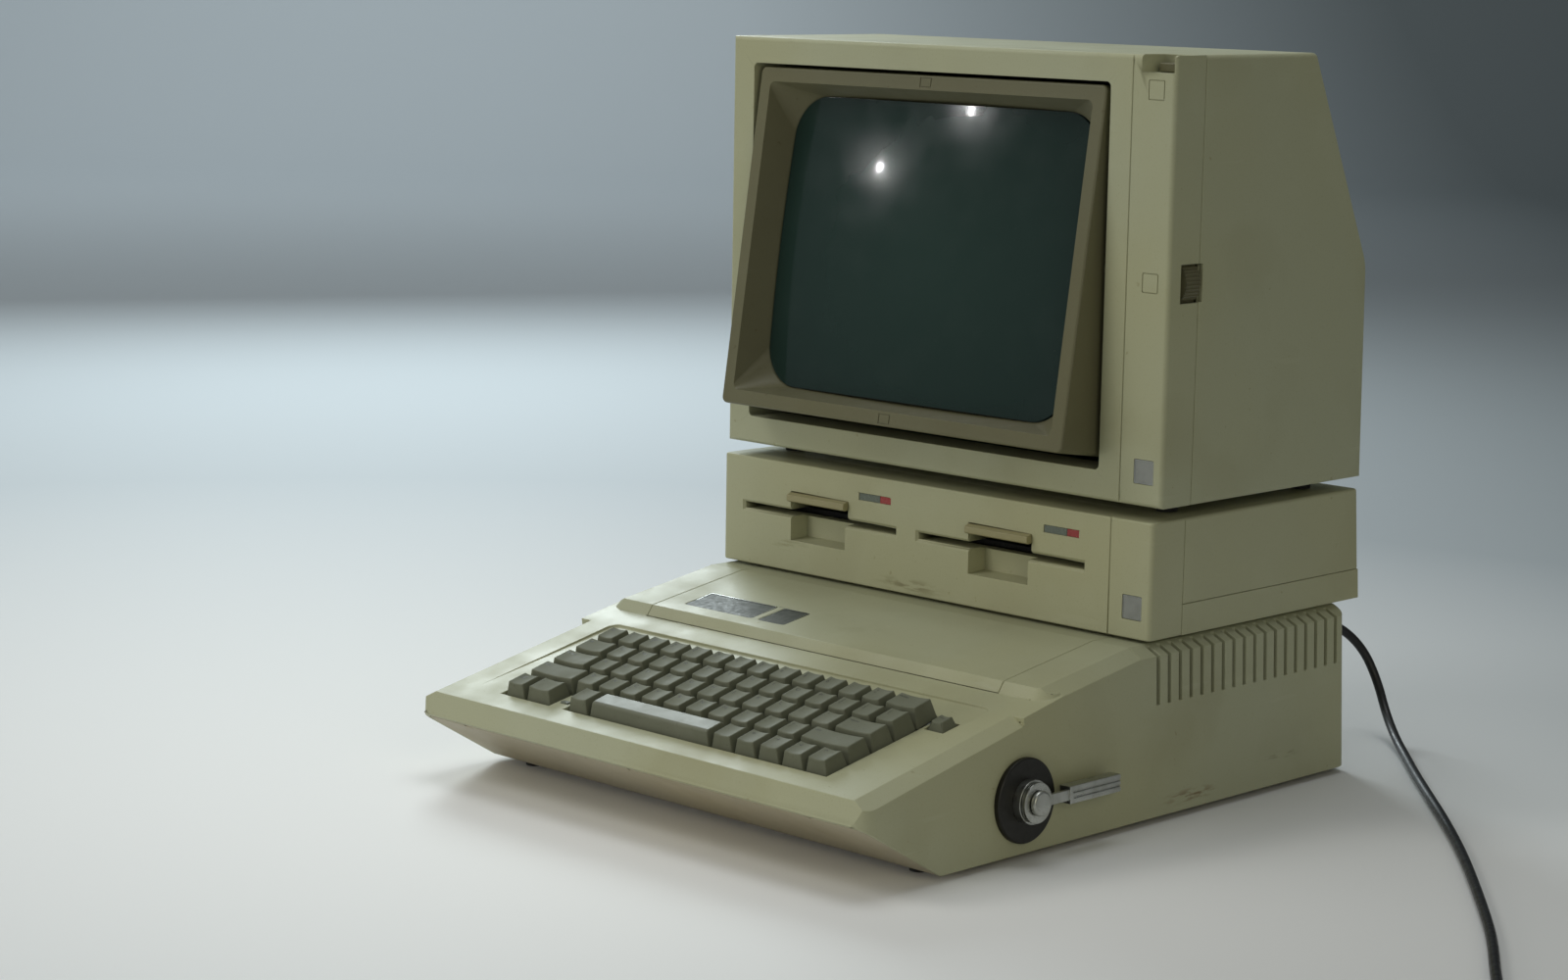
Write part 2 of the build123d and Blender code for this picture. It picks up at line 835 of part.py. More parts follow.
supply_low = pan_top + gap
supply_rear = y_at(case_depth - case_wall - gap - supply_height * tan(radians(case_draft)) - 2)
supply_front = y_at(supply_front_run)
inlet_z = cord_z
switch_room = (switch_width + 2 * gap, switch_height + 2 * gap)
rocker_axis = (supply_rear - rocker_axis_in, switch_z)
with BuildPart() as power_supply:
    with BuildSketch(Plane.XY.offset(supply_low)):
        with Locations((supply_x, (supply_front + supply_rear) / 2)):
            Rectangle(supply_width, supply_rear - supply_front)
    extrude(amount=supply_height)
    offset(amount=-supply_plate, mode=Mode.SUBTRACT)
    # Housing of the mains switch behind the rear wall
    with BuildSketch(Plane.XZ.offset(-supply_rear)):
        with Locations((switch_x, switch_z)):
            Rectangle(switch_room[0] + 2 * switch_wall, switch_room[1] + 2 * switch_wall)
    extrude(amount=switch_depth)
    with BuildSketch(Plane.XZ.offset(-supply_rear)):
        with Locations((switch_x, switch_z)):
            Rectangle(*switch_room)
    extrude(amount=switch_depth, both=True, mode=Mode.SUBTRACT)
    with BuildSketch(side.offset(switch_x)):
        with Locations(rocker_axis):
            Circle(rocker_pin + shaft_play)
    extrude(amount=switch_width / 2 + switch_wall, both=True, mode=Mode.SUBTRACT)
    with BuildSketch(Plane.XZ.offset(-supply_rear)):
        with Locations((cord_x, inlet_z)):
            Rectangle(inlet_width + 2 * gap, inlet_height + 2 * gap)
    extrude(amount=2 * supply_plate, both=True, mode=Mode.SUBTRACT)
    with BuildSketch(Plane.XY.offset(supply_low + supply_height)):
        with Locations((supply_x, (supply_front + supply_rear) / 2)):
            with GridLocations(1, 16, 1, supply_slots):
                Rectangle(supply_width - 24, 4)
    extrude(amount=-2 * supply_plate, mode=Mode.SUBTRACT)
keep(power_supply, "power_supply")

with BuildPart() as mains_inlet:
    with BuildSketch(Plane.XZ.offset(-supply_rear)):
        with Locations((cord_x, inlet_z)):
            RectangleRounded(inlet_width, inlet_height, 2)
    extrude(amount=inlet_depth - 2)
    inlet_face = Plane.XZ.offset(-(supply_rear + 2))
    with BuildSketch(inlet_face.offset(2)):
        with Locations((cord_x, inlet_z)):
            RectangleRounded(inlet_width + 5, inlet_height + 5, 2)
    extrude(amount=-2)
    with BuildSketch(inlet_face):
        with Locations((cord_x, inlet_z)):
            RectangleRounded(inlet_width - 5, inlet_height - 5, 2)
    extrude(amount=inlet_depth - 4, mode=Mode.SUBTRACT)
keep(mains_inlet, "mains_inlet")

with BuildPart() as power_switch:
    with BuildSketch(side.offset(switch_x - switch_width / 2)):
        with BuildLine():
            Polyline(
                (supply_rear - 7, switch_z - switch_height / 2 + 1.5),
                (supply_rear + 0.4, switch_z - switch_height / 2 + 1.0),
                (supply_rear + 1.2, switch_z),
                (supply_rear + rocker_crown, switch_z + switch_height / 2 - 1.4),
                (supply_rear - 7, switch_z + switch_height / 2 - 2.4),
                close=True,
            )
        make_face()
    extrude(amount=switch_width)
    # Pins that it rocks on
    with BuildSketch(side.offset(switch_x)):
        with Locations(rocker_axis):
            Circle(rocker_pin)
    extrude(amount=switch_width / 2 + switch_wall, both=True)
keep(power_switch, "power_switch")

# ---------------------------------------------------------------- keyboard
reset_column_edge = reset_column * key_unit + reset_size / 2


def key_leg_height(y):
    """Height of the keyboard plate's underside at a place."""
    down = (y - key_plane.origin.Y) * tan(radians(key_slope))
    return key_top + down - (plate_below + plate_thick) / cos(radians(key_slope))


# Rows from the top: where the single-width keys start and how many there are
row_keys = {
    "number_keys": [(1 + i + 0.5, 0) for i in range(12)],
    "upper_letter_keys": [(1.5 + i + 0.5, 1) for i in range(13)],
    "home_letter_keys": [(1.75 + i + 0.5, 2) for i in range(11)],
    "lower_letter_keys": [(2.25 + i + 0.5, 3) for i in range(10)],
    "arrow_keys": [(10.5 + i + 0.5, 4) for i in range(4)],
}
# Single keys: column of the middle, row, width in key units
single_keys = {
    "escape_key": (0.5, 0, 1.0),
    "delete_key": (13.75, 0, 1.5),
    "tab_key": (0.75, 1, 1.5),
    "control_key": (0.875, 2, 1.75),
    "return_key": (13.625, 2, 1.75),
    "left_shift_key": (1.125, 3, 2.25),
    "right_shift_key": (13.375, 3, 2.25),
    "caps_lock_key": (0.5, 4, 1.0),
    "accent_key": (1.625, 4, 1.25),
    "left_symbol_key": (3.5, 4, 1.0),
    "space_bar": (6.75, 4, 5.5),
    "right_symbol_key": (10.0, 4, 1.0),
}
key_centres = [place for row in row_keys.values() for place in row]
key_centres += [(column, row) for column, row, _ in single_keys.values()]
leg_places = [
    (keys_left + column * key_unit, y_at(row_one_run) - row * key_unit)
    for column in (-0.1, keys_wide + 0.1)
    for row in (-0.5, 1.8)
]

with BuildPart(key_plane) as keyboard_plate:
    with BuildSketch(key_plane.offset(-plate_below)):
        with Locations(((reset_column_edge + 2) / 2, -2 * key_unit)):
            Rectangle(reset_column_edge + 2 + 2 * plate_border, 5 * key_unit + 2 * plate_border)
    extrude(amount=-plate_thick)
    for leg in leg_places:
        with BuildSketch(Plane.XY.offset(pan_top + gap)):
            with Locations(leg):
                Circle(post_radius)
        extrude(amount=key_leg_height(leg[1]) + plate_thick / 2 - pan_top - gap)
keep(keyboard_plate, "keyboard_plate")

stem_room = key_stem + 2 * gap
with BuildPart() as key_switches:
    with BuildSketch(key_plane.offset(-plate_below)):
        with Locations(*[key_place(*centre) for centre in key_centres]):
            Rectangle(housing_size, housing_size)
            Rectangle(stem_room, stem_room, mode=Mode.SUBTRACT)
    extrude(amount=plate_below - housing_top)
    with BuildSketch(key_plane.offset(-plate_below)):
        with Locations(reset_centre):
            Rectangle(reset_housing, reset_housing)
            Rectangle(stem_room, stem_room, mode=Mode.SUBTRACT)
    extrude(amount=plate_below - reset_housing_top)
keep(key_switches, "key_switches")


def key_cap(base, deep=key_base, tall=key_height, stem_end=housing_top + key_stem, dish=key_dish):
    """A hollow key with its stem, the middle of its top at the origin. Wide keys dish along their length."""
    crown = base - (key_base - key_crown_width)
    crown_deep = deep - (key_base - key_crown_depth)
    radius = ((crown / 2) ** 2 + dish**2) / (2 * dish) if dish else 0
    with BuildPart(mode=Mode.PRIVATE) as cap:
        with BuildSketch(Plane.XY.offset(-tall)):
            Rectangle(base, deep)
        with BuildSketch(Plane.XY):
            with Locations((0, key_crown_shift)):
                Rectangle(crown, crown_deep)
        loft()
        if dish:
            with BuildSketch(Plane.XZ.offset(-deep)):
                with Locations((0, radius - dish)):
                    Circle(radius)
            extrude(amount=2 * deep, mode=Mode.SUBTRACT)
        else:
            fillet(cap.edges().group_by(Axis.Z)[-1].filter_by(Axis.X), 2.5)
        roof = dish + key_shell
        narrow = (base - crown) * roof / tall
        with BuildSketch(Plane.XY.offset(-tall)):
            Rectangle(base - 2 * key_shell, deep - 2 * key_shell)
        with BuildSketch(Plane.XY.offset(-roof)):
            with Locations((0, key_crown_shift)):
                Rectangle(crown + narrow - 2 * key_shell, crown_deep + narrow - 2 * key_shell)
        loft(mode=Mode.SUBTRACT)
        with BuildSketch(Plane.XY.offset(-roof)):
            Rectangle(key_stem, key_stem)
        extrude(amount=roof - stem_end)
    return cap.part


single_cap = key_cap(key_base)
for name, places in row_keys.items():
    with BuildPart(key_plane) as row:
        with Locations(*[key_place(*place) for place in places]):
            add(single_cap)
    keep(row, name)

for name, (column, row_number, units) in single_keys.items():
    with BuildPart(key_plane) as key:
        with Locations(key_place(column, row_number)):
            wide = units * key_unit - (key_unit - key_base)
            add(key_cap(wide, dish=0 if name == "space_bar" else key_dish))
    keep(key, name)

reset_plane = key_plane.offset(-reset_below)
with BuildPart(reset_plane) as reset_key:
    with Locations(reset_centre):
        add(key_cap(reset_size, reset_size, reset_height, reset_stem_end - reset_below))
keep(reset_key, "reset_key")

lamp_plate_z = deck_z(lamp_run)
with BuildPart() as power_lamp:
    with BuildSketch(Plane.XY.offset(lamp_plate_z - case_wall - 1)):
        with Locations((lamp_x, y_at(lamp_run))):
            Rectangle(lamp_width - 2 * gap, lamp_depth - 2 * gap)
    extrude(amount=case_wall + 1.6)
keep(power_lamp, "power_lamp")

# ---------------------------------------------------------------- lock on the right flank
# Its frame: x backwards, y up along the drawn-in flank, z outwards.
lock_plane = Plane(
    origin=(flank_x(lock_z), y_at(lock_run), lock_z),
    x_dir=(0, 1, 0),
    z_dir=(cos(radians(case_draft)), 0, sin(radians(case_draft))),
)
lever_thick = 2.6

with BuildPart() as lock_plate:
    with BuildSketch(lock_plane):
        Circle(lock_disc_radius)
        Circle(lock_bolt_radius + gap, mode=Mode.SUBTRACT)
    extrude(amount=lock_disc_thick)
    chamfer(lock_plate.faces().sort_by(Axis.X)[-1].edges().sort_by(SortBy.LENGTH)[-1], 0.8)
keep(lock_plate, "lock_plate")

with BuildPart() as lock_bolt:
    with BuildSketch(lock_plane.offset(-case_wall - 8)):
        Circle(lock_bolt_radius)
    extrude(amount=case_wall + 8 + lock_disc_thick + lock_collar_length)
    with BuildSketch(lock_plane.offset(lock_disc_thick + lock_collar_length)):
        Circle(lock_cap_radius)
    extrude(amount=lock_cap_thick)
    fillet(lock_bolt.edges().group_by(Axis.X)[-1], lock_cap_round)
    # Nut on the inside of the flank
    with BuildSketch(lock_plane.offset(-case_wall - gap)):
        RegularPolygon(9, 6)
        Circle(lock_bolt_radius, mode=Mode.SUBTRACT)
    extrude(amount=-5)
    # Collar that the lever turns against
    with BuildSketch(lock_plane.offset(lock_disc_thick)):
        Circle(lock_collar_radius)
        Circle(lock_bolt_radius, mode=Mode.SUBTRACT)
    extrude(amount=lock_collar_length - lever_thick - 1)
keep(lock_bolt, "lock_bolt")

with BuildPart() as lock_lever:
    lever_base = lock_plane.offset(lock_disc_thick + lock_collar_length - lever_thick - 0.6)
    with BuildSketch(lever_base):
        Circle(lock_collar_radius - 1)
        with Locations((lever_bar_start / 2 + 2, 0)):
            Rectangle(lever_bar_start - 2, lever_neck_height)
        Circle(lock_bolt_radius + shaft_play, mode=Mode.SUBTRACT)
    extrude(amount=lever_thick)
    with BuildSketch(lever_base.offset(lever_thick - lever_bar_thick + 1)):
        with Locations(((lever_bar_start + lever_bar_end) / 2, 0)):
            Rectangle(lever_bar_end - lever_bar_start, lever_bar_height)
    extrude(amount=lever_bar_thick)
    # Grooves along the outside and the top of the bar
    with BuildSketch(lever_base.offset(lever_thick + 1)):
        with Locations(((lever_bar_start + lever_bar_end) / 2 + 3, 0)):
            with GridLocations(1, 3.2, 1, 2):
                Rectangle(lever_bar_end - lever_bar_start, 1.0)
    extrude(amount=-0.8, mode=Mode.SUBTRACT)
    chamfer(lock_lever.edges().group_by(Axis.Y)[-1], 1.0)
keep(lock_lever, "lock_lever")

# ---------------------------------------------------------------- twin disk unit
drive_top = drive_bottom + drive_height
drive_front = y_at(drive_run)
drive_seam_y = drive_front + drive_front_depth
drive_rear = drive_front + drive_depth
pocket_deep = notch_depth + 3
latch_pivot_z = slot_z + latch_height - latch_pivot_drop
lip_thick = 1.8
lip_reach = 5.0


def front_face(y):
    """Sketch plane on a front: x to the right, y up, looking back."""
    return Plane.XZ.offset(-y)


def inner_lip(wide, high, low, wall, seam_y):
    """Rim that stands behind a front and fits inside the shell that meets it."""
    with BuildPart(mode=Mode.PRIVATE) as rim:
        with BuildSketch(front_face(seam_y - lip_reach)):
            with Locations((0, low + high / 2)):
                Rectangle(wide - 2 * wall - 2 * gap, high - 2 * wall - 2 * gap)
                Rectangle(
                    wide - 2 * wall - 2 * gap - 2 * lip_thick,
                    high - 2 * wall - 2 * gap - 2 * lip_thick,
                    mode=Mode.SUBTRACT,
                )
        extrude(amount=-2 * lip_reach)
        # Its root reaches the front's own walls
        with BuildSketch(front_face(seam_y - lip_reach)):
            with Locations((0, low + high / 2)):
                Rectangle(wide - wall, high - wall)
                Rectangle(
                    wide - 2 * wall - 2 * gap - 2 * lip_thick,
                    high - 2 * wall - 2 * gap - 2 * lip_thick,
                    mode=Mode.SUBTRACT,
                )
        extrude(amount=-lip_reach + seam)
    return rim.part


with BuildPart() as drive_bezel:
    with BuildSketch(front_face(drive_front)):
        with Locations((0, drive_bottom + drive_height / 2)):
            Rectangle(drive_width, drive_height)
    extrude(amount=-drive_front_depth + seam / 2)
    fillet(drive_bezel.edges().filter_by(Axis.Z).group_by(Axis.Y)[0], 3)
    fillet(drive_bezel.edges().filter_by(Axis.X).group_by(Axis.Y)[0], 1.2)
    with BuildSketch(front_face(drive_front + drive_wall)):
        with Locations((0, drive_bottom + drive_height / 2)):
            Rectangle(drive_width - 2 * drive_wall, drive_height - 2 * drive_wall)
    extrude(amount=-drive_front_depth, mode=Mode.SUBTRACT)
    for slot_x in slot_centres:
        # Solid block behind the front that the pockets are sunk into
        with BuildSketch(front_face(drive_front + 1)):
            with Locations((slot_x, slot_z)):
                Rectangle(slot_length + 6, slot_height + 6)
            with Locations((slot_x, slot_z + (latch_height - notch_drop) / 2)):
                Rectangle(latch_width + 12, latch_height + notch_drop + 8)
        extrude(amount=-pocket_deep)
    for slot_x in slot_centres:
        with BuildSketch(front_face(drive_front - 1)):
            with Locations((slot_x, slot_z)):
                Rectangle(slot_length, slot_height)
        extrude(amount=-drive_front_depth, mode=Mode.SUBTRACT)
        with BuildSketch(front_face(drive_front)):
            with Locations((slot_x, slot_z)):
                Rectangle(slot_length + 2 * slot_lip, slot_height + 2 * slot_lip)
        extrude(amount=-slot_lip, taper=44, mode=Mode.SUBTRACT)
        # Finger notch below the slot and the latch's notch above it
        with BuildSketch(front_face(drive_front)):
            with Locations((slot_x, slot_z - notch_drop / 2 - slot_height / 4)):
                Rectangle(notch_width, notch_drop)
        extrude(amount=-notch_depth, taper=6, mode=Mode.SUBTRACT)
        with BuildSketch(front_face(drive_front - 1)):
            with Locations((slot_x + 1, slot_z + latch_height / 2)):
                Rectangle(latch_width, latch_height)
        extrude(amount=-drive_front_depth, mode=Mode.SUBTRACT)
        with BuildSketch(side.offset(slot_x + 1)):
            with Locations((drive_front + latch_pivot_in, latch_pivot_z)):
                Circle(trunnion_radius + shaft_play)
        extrude(amount=latch_width / 2 + trunnion_reach, both=True, mode=Mode.SUBTRACT)
        with BuildSketch(front_face(drive_front)):
            with Locations((slot_x + lens_offset, lens_z)):
                Rectangle(lens_width + 2 * shaft_play, lens_height + 2 * shaft_play)
        extrude(amount=-drive_front_depth, mode=Mode.SUBTRACT)
    with BuildSketch(front_face(drive_front)):
        with Locations((strip_groove, drive_bottom + drive_height / 2)):
            Rectangle(groove_width, drive_height)
        with Locations((strip_groove + badge_shift, drive_bottom + badge_up)):
            RectangleRounded(badge_size, badge_size, 1)
    extrude(amount=-groove_depth, mode=Mode.SUBTRACT)
    # Lip that holds the cover and the pan in line
    add(inner_lip(drive_width, drive_height, drive_bottom, drive_wall, drive_seam_y))
keep(drive_bezel, "drive_bezel")

for hand, slot_x in zip(("left", "right"), slot_centres):
    latch_x = slot_x + 1
    pivot_y = drive_front + latch_pivot_in
    lip_y = drive_front - latch_out
    with BuildPart() as latch:
        with BuildSketch(side.offset(latch_x - latch_width / 2 + gap)):
            with BuildLine():
                Polyline(
                    (pivot_y - 1, latch_pivot_z - 2.5),
                    (lip_y + 2, latch_pivot_z - 3.6),
                    (lip_y, latch_pivot_z - 2.6),
                    (lip_y, latch_pivot_z + 1.2),
                    (lip_y + 3.5, latch_pivot_z + 2.5),
                    (pivot_y, latch_pivot_z + 2.4),
                    close=True,
                )
            make_face()
            with Locations((pivot_y, latch_pivot_z)):
                Circle(2.5)
        extrude(amount=latch_width - 2 * gap)
        # Trunnions that turn in the bezel
        with BuildSketch(side.offset(latch_x)):
            with Locations((pivot_y, latch_pivot_z)):
                Circle(trunnion_radius)
        extrude(amount=latch_width / 2 + trunnion_reach - gap, both=True)
    keep(latch, f"drive_latch_{hand}")

with BuildPart() as drive_windows:
    for slot_x in slot_centres:
        with BuildSketch(front_face(drive_front + 0.4)):
            with Locations((slot_x + lens_offset - lamp_share / 2, lens_z)):
                Rectangle(lens_width - lamp_share, lens_height)
        extrude(amount=-drive_wall - 1.2)
        # Flange behind the front
        with BuildSketch(front_face(drive_front + drive_wall + 0.1)):
            with Locations((slot_x + lens_offset, lens_z)):
                Rectangle(lens_width + 4, lens_height + 3)
            with Locations((slot_x + lens_offset + (lens_width - lamp_share) / 2, lens_z)):
                Rectangle(lamp_share + gap, lens_height + gap, mode=Mode.SUBTRACT)
        extrude(amount=-1.2)
keep(drive_windows, "drive_windows")

with BuildPart() as drive_lamps:
    for slot_x in slot_centres:
        with BuildSketch(front_face(drive_front + 0.4)):
            with Locations((slot_x + lens_offset + (lens_width - lamp_share) / 2, lens_z)):
                Rectangle(lamp_share - gap, lens_height)
        extrude(amount=-drive_wall - 5)
keep(drive_lamps, "drive_lamps")


def shell_block(profile, wide, inset):
    """A housing behind a front from its side outline, or its inside at a wall's distance."""
    with BuildPart(mode=Mode.PRIVATE) as block:
        with BuildSketch(side.offset(inset - wide / 2)):
            with BuildLine():
                Polyline(*profile, close=True)
            make_face()
            if inset:
                offset(amount=-inset, kind=Kind.INTERSECTION)
        extrude(amount=wide - 2 * inset)
    return block.part


def drive_profile(start):
    """Side outline of the disk unit behind a given place, bottom first."""
    return [
        (start, drive_bottom),
        (drive_rear, drive_bottom),
        (drive_rear - drive_rear_lean, drive_top),
        (start, drive_top),
    ]


drive_shell = shell_block(drive_profile(drive_seam_y + seam / 2), drive_width, 0)
drive_inside = shell_block(drive_profile(drive_seam_y - drive_front_depth), drive_width, drive_wall)
drive_joint_z = drive_bottom + pan_height

with BuildPart() as drive_cover:
    add(drive_shell)
    fillet(drive_cover.edges().filter_by(Axis.Y).group_by(Axis.Z)[-1], cover_round)
    fillet(drive_cover.edges().filter_by(Axis.X).group_by(Axis.Z)[-1].sort_by(Axis.Y)[-1], cover_round)
    add(drive_inside, mode=Mode.SUBTRACT)
    split(bisect_by=Plane.XY.offset(drive_joint_z + gap / 2), keep=Keep.TOP)
keep(drive_cover, "drive_cover")

with BuildPart() as drive_pan:
    add(drive_shell)
    add(drive_inside, mode=Mode.SUBTRACT)
    split(bisect_by=Plane.XY.offset(drive_joint_z - gap / 2), keep=Keep.BOTTOM)
    # Rails that hold the cover's edges in line
    for hand in (-1, 1):
        rail_x = hand * (drive_width / 2 - drive_wall - gap - lip_thick / 2)
        with BuildSketch(Plane.XY.offset(drive_bottom + drive_wall)):
            with Locations((rail_x, (drive_seam_y + lip_reach + drive_rear - drive_rear_lean) / 2)):
                Rectangle(lip_thick, drive_rear - drive_rear_lean - drive_seam_y - 5 * lip_reach)
        extrude(amount=pan_height + lip_reach - drive_wall)
    # Cable outlet in the rear wall
    with BuildSketch(front_face(drive_rear)):
        with Locations((-60, drive_bottom + drive_wall + 6)):
            RectangleRounded(30, 8, 3)
    extrude(amount=3 * drive_wall, both=True, mode=Mode.SUBTRACT)
keep(drive_pan, "drive_pan")

chassis_front = drive_seam_y + lip_reach + gap
deck_under_slot = slot_z - slot_height / 2 - 0.6
with BuildPart() as drive_chassis:
    for slot_x in slot_centres:
        with BuildSketch(front_face(chassis_front)):
            # Side plates, deck below the disk and guide above it
            with Locations((slot_x, drive_bottom + drive_wall + gap + chassis_height / 2)):
                Rectangle(slot_length + 2 * chassis_plate + 2, chassis_height)
                Rectangle(slot_length + 2, chassis_height, mode=Mode.SUBTRACT)
            with Locations((slot_x, deck_under_slot - chassis_plate / 2)):
                Rectangle(slot_length + 3, chassis_plate)
            with Locations((slot_x, slot_z + slot_height / 2 + 0.6 + chassis_plate / 2)):
                Rectangle(slot_length + 3, chassis_plate)
        extrude(amount=-chassis_depth)
        # Spindle motor under the deck
        with BuildSketch(Plane.XY.offset(deck_under_slot - chassis_plate)):
            with Locations((slot_x, chassis_front + chassis_depth * 0.45)):
                Circle(motor_radius)
        extrude(amount=-motor_height)
keep(drive_chassis, "drive_chassis")

with BuildPart() as drive_feet:
    with BuildSketch(Plane.XY.offset(drive_bottom - drive_foot_height)):
        with Locations(*[
            (hand * drive_foot_x, y_at(run)) for hand in (-1, 1) for run in drive_foot_runs
        ]):
            Circle(foot_radius)
    extrude(amount=drive_foot_height)
keep(drive_feet, "drive_feet")

# ---------------------------------------------------------------- monitor
monitor_front = y_at(monitor_run)
monitor_top = monitor_bottom + monitor_height
monitor_mid = monitor_bottom + monitor_height / 2
monitor_seam_y = monitor_front + monitor_front_depth
mouth_width = mouth_right - mouth_left
mouth_x = (mouth_left + mouth_right) / 2
mouth_height = mouth_high - mouth_low
mouth_z = monitor_bottom + (mouth_low + mouth_high) / 2
tilt_y = y_at(tilt_pivot_run)
right_side = monitor_width / 2
notch_x = right_side - 1.7 - power_notch_width / 2
notch_floor = monitor_top - power_notch_height
button_x = right_side - button_from_side - button_width / 2
button_z = notch_floor + gap + button_height / 2
stem_x = button_x - button_stem_shift
wheel_x = right_side + wheel_proud - wheel_radius
wheel_y = monitor_front + wheel_back
wheel_z = monitor_bottom + wheel_height

with BuildPart() as monitor_frame:
    with BuildSketch(front_face(monitor_front)):
        with Locations((0, monitor_mid)):
            Rectangle(monitor_width, monitor_height)
    extrude(amount=-monitor_front_depth + seam / 2)
    fillet(monitor_frame.faces().sort_by(Axis.Y)[0].edges(), monitor_round)
    with BuildSketch(front_face(monitor_front + monitor_wall)):
        with Locations((0, monitor_mid)):
            Rectangle(monitor_width - 2 * monitor_wall, monitor_height - 2 * monitor_wall)
    extrude(amount=-monitor_front_depth, mode=Mode.SUBTRACT)
    add(inner_lip(monitor_width, monitor_height, monitor_bottom, monitor_wall, monitor_seam_y))
    # Tunnel around the mouth, which carries the screen's pivots
    with BuildSketch(front_face(monitor_front + 1)):
        with Locations((mouth_x, mouth_z)):
            Rectangle(mouth_width + 2 * monitor_wall, mouth_height + 2 * monitor_wall)
    extrude(amount=-monitor_front_depth + 2)
    # Pocket of the power button and bearing of the side wheel
    with BuildSketch(front_face(monitor_front + 1)):
        with Locations((notch_x - monitor_wall / 2, notch_floor + power_notch_height / 2 - monitor_wall)):
            Rectangle(power_notch_width + monitor_wall, power_notch_height)
    extrude(amount=-power_notch_depth - monitor_wall + 1)
    with BuildSketch(front_face(monitor_front + 1)):
        with Locations(((wheel_x - 2 * wheel_shaft + right_side - 1) / 2, wheel_z)):
            Rectangle(right_side - 1 - wheel_x + 2 * wheel_shaft, 4 * wheel_shaft)
    extrude(amount=-wheel_back + wheel_thick / 2 + gap + 1)
    with BuildSketch(front_face(monitor_front - 1)):
        with Locations((mouth_x, mouth_z)):
            RectangleRounded(mouth_width, mouth_height, 3)
    extrude(amount=-monitor_front_depth - 1, mode=Mode.SUBTRACT)
    with BuildSketch(front_face(monitor_front - 1)):
        with Locations((notch_x, monitor_top)):
            Rectangle(power_notch_width, 2 * power_notch_height)
    extrude(amount=-power_notch_depth - 1, mode=Mode.SUBTRACT)
    with BuildSketch(front_face(monitor_front)):
        with Locations((stem_x, button_z)):
            Rectangle(button_stem[0] + 2 * gap, button_stem[1] + 2 * gap)
    extrude(amount=-monitor_front_depth, mode=Mode.SUBTRACT)
    with BuildSketch(front_face(monitor_front + 4)):
        with Locations((wheel_x, wheel_z)):
            Circle(wheel_shaft + shaft_play)
    extrude(amount=-monitor_front_depth, mode=Mode.SUBTRACT)
    with BuildSketch(side.offset(wheel_x)):
        with Locations((wheel_y, wheel_z)):
            Rectangle(*wheel_notch)
    extrude(amount=2 * wheel_radius, mode=Mode.SUBTRACT)
    with BuildSketch(side.offset(wheel_x)):
        with Locations((wheel_y, wheel_z)):
            Rectangle(wheel_notch[0], 2 * wheel_radius + 2 * gap)
    extrude(amount=right_side - monitor_wall - wheel_x, mode=Mode.SUBTRACT)
    with BuildSketch(side.offset(mouth_left - 2 * monitor_wall)):
        with Locations((tilt_y, tilt_pivot_z)):
            Circle(tilt_pin + shaft_play)
    extrude(amount=mouth_width + 4 * monitor_wall, mode=Mode.SUBTRACT)
    # Groove, badge recess and two engraved squares of the right-hand strip
    with BuildSketch(front_face(monitor_front)):
        with Locations((monitor_groove, monitor_mid)):
            Rectangle(groove_width, monitor_height)
        with Locations((icon_x, monitor_bottom + badge_up + 2)):
            RectangleRounded(badge_size, badge_size, 1)
        for height in icon_heights:
            with Locations((icon_x, monitor_bottom + height)):
                RectangleRounded(icon_size, icon_size, 1)
                RectangleRounded(
                    icon_size - 2 * icon_line, icon_size - 2 * icon_line, 0.6, mode=Mode.SUBTRACT
                )
    extrude(amount=-badge_depth, mode=Mode.SUBTRACT)
keep(monitor_frame, "monitor_frame")


def monitor_profile(start):
    """Side outline of the monitor behind a given place: upright rear, then sloping to the top."""
    return [
        (start, monitor_bottom),
        (monitor_front + monitor_side_depth, monitor_bottom),
        (monitor_front + monitor_side_depth - knee_back, monitor_bottom + knee_height),
        (monitor_front + monitor_top_depth, monitor_top),
        (start, monitor_top),
    ]


def neck_cover(inset):
    """Hump on the monitor's rear over the neck of the tube, or its inside."""
    low = monitor_bottom + neck_low + inset
    high = monitor_bottom + neck_high - inset
    rear = y_at(overall_depth) - inset
    root = monitor_front + monitor_top_depth - 3 * inset
    with BuildPart(mode=Mode.PRIVATE) as hump:
        with BuildSketch(side.offset(inset - neck_width / 2)):
            with BuildLine():
                Polyline((root, low), (rear, low + 8), (rear, high - 22), (root, high), close=True)
            make_face()
        extrude(amount=neck_width - 2 * inset)
        fillet(hump.edges().group_by(Axis.Y)[-1], 6 - inset)
    return hump.part


monitor_outside = shell_block(monitor_profile(monitor_seam_y + seam / 2), monitor_width, 0)
monitor_inside = shell_block(
    monitor_profile(monitor_seam_y - monitor_front_depth), monitor_width, monitor_wall
)
neck_inside = neck_cover(monitor_wall)

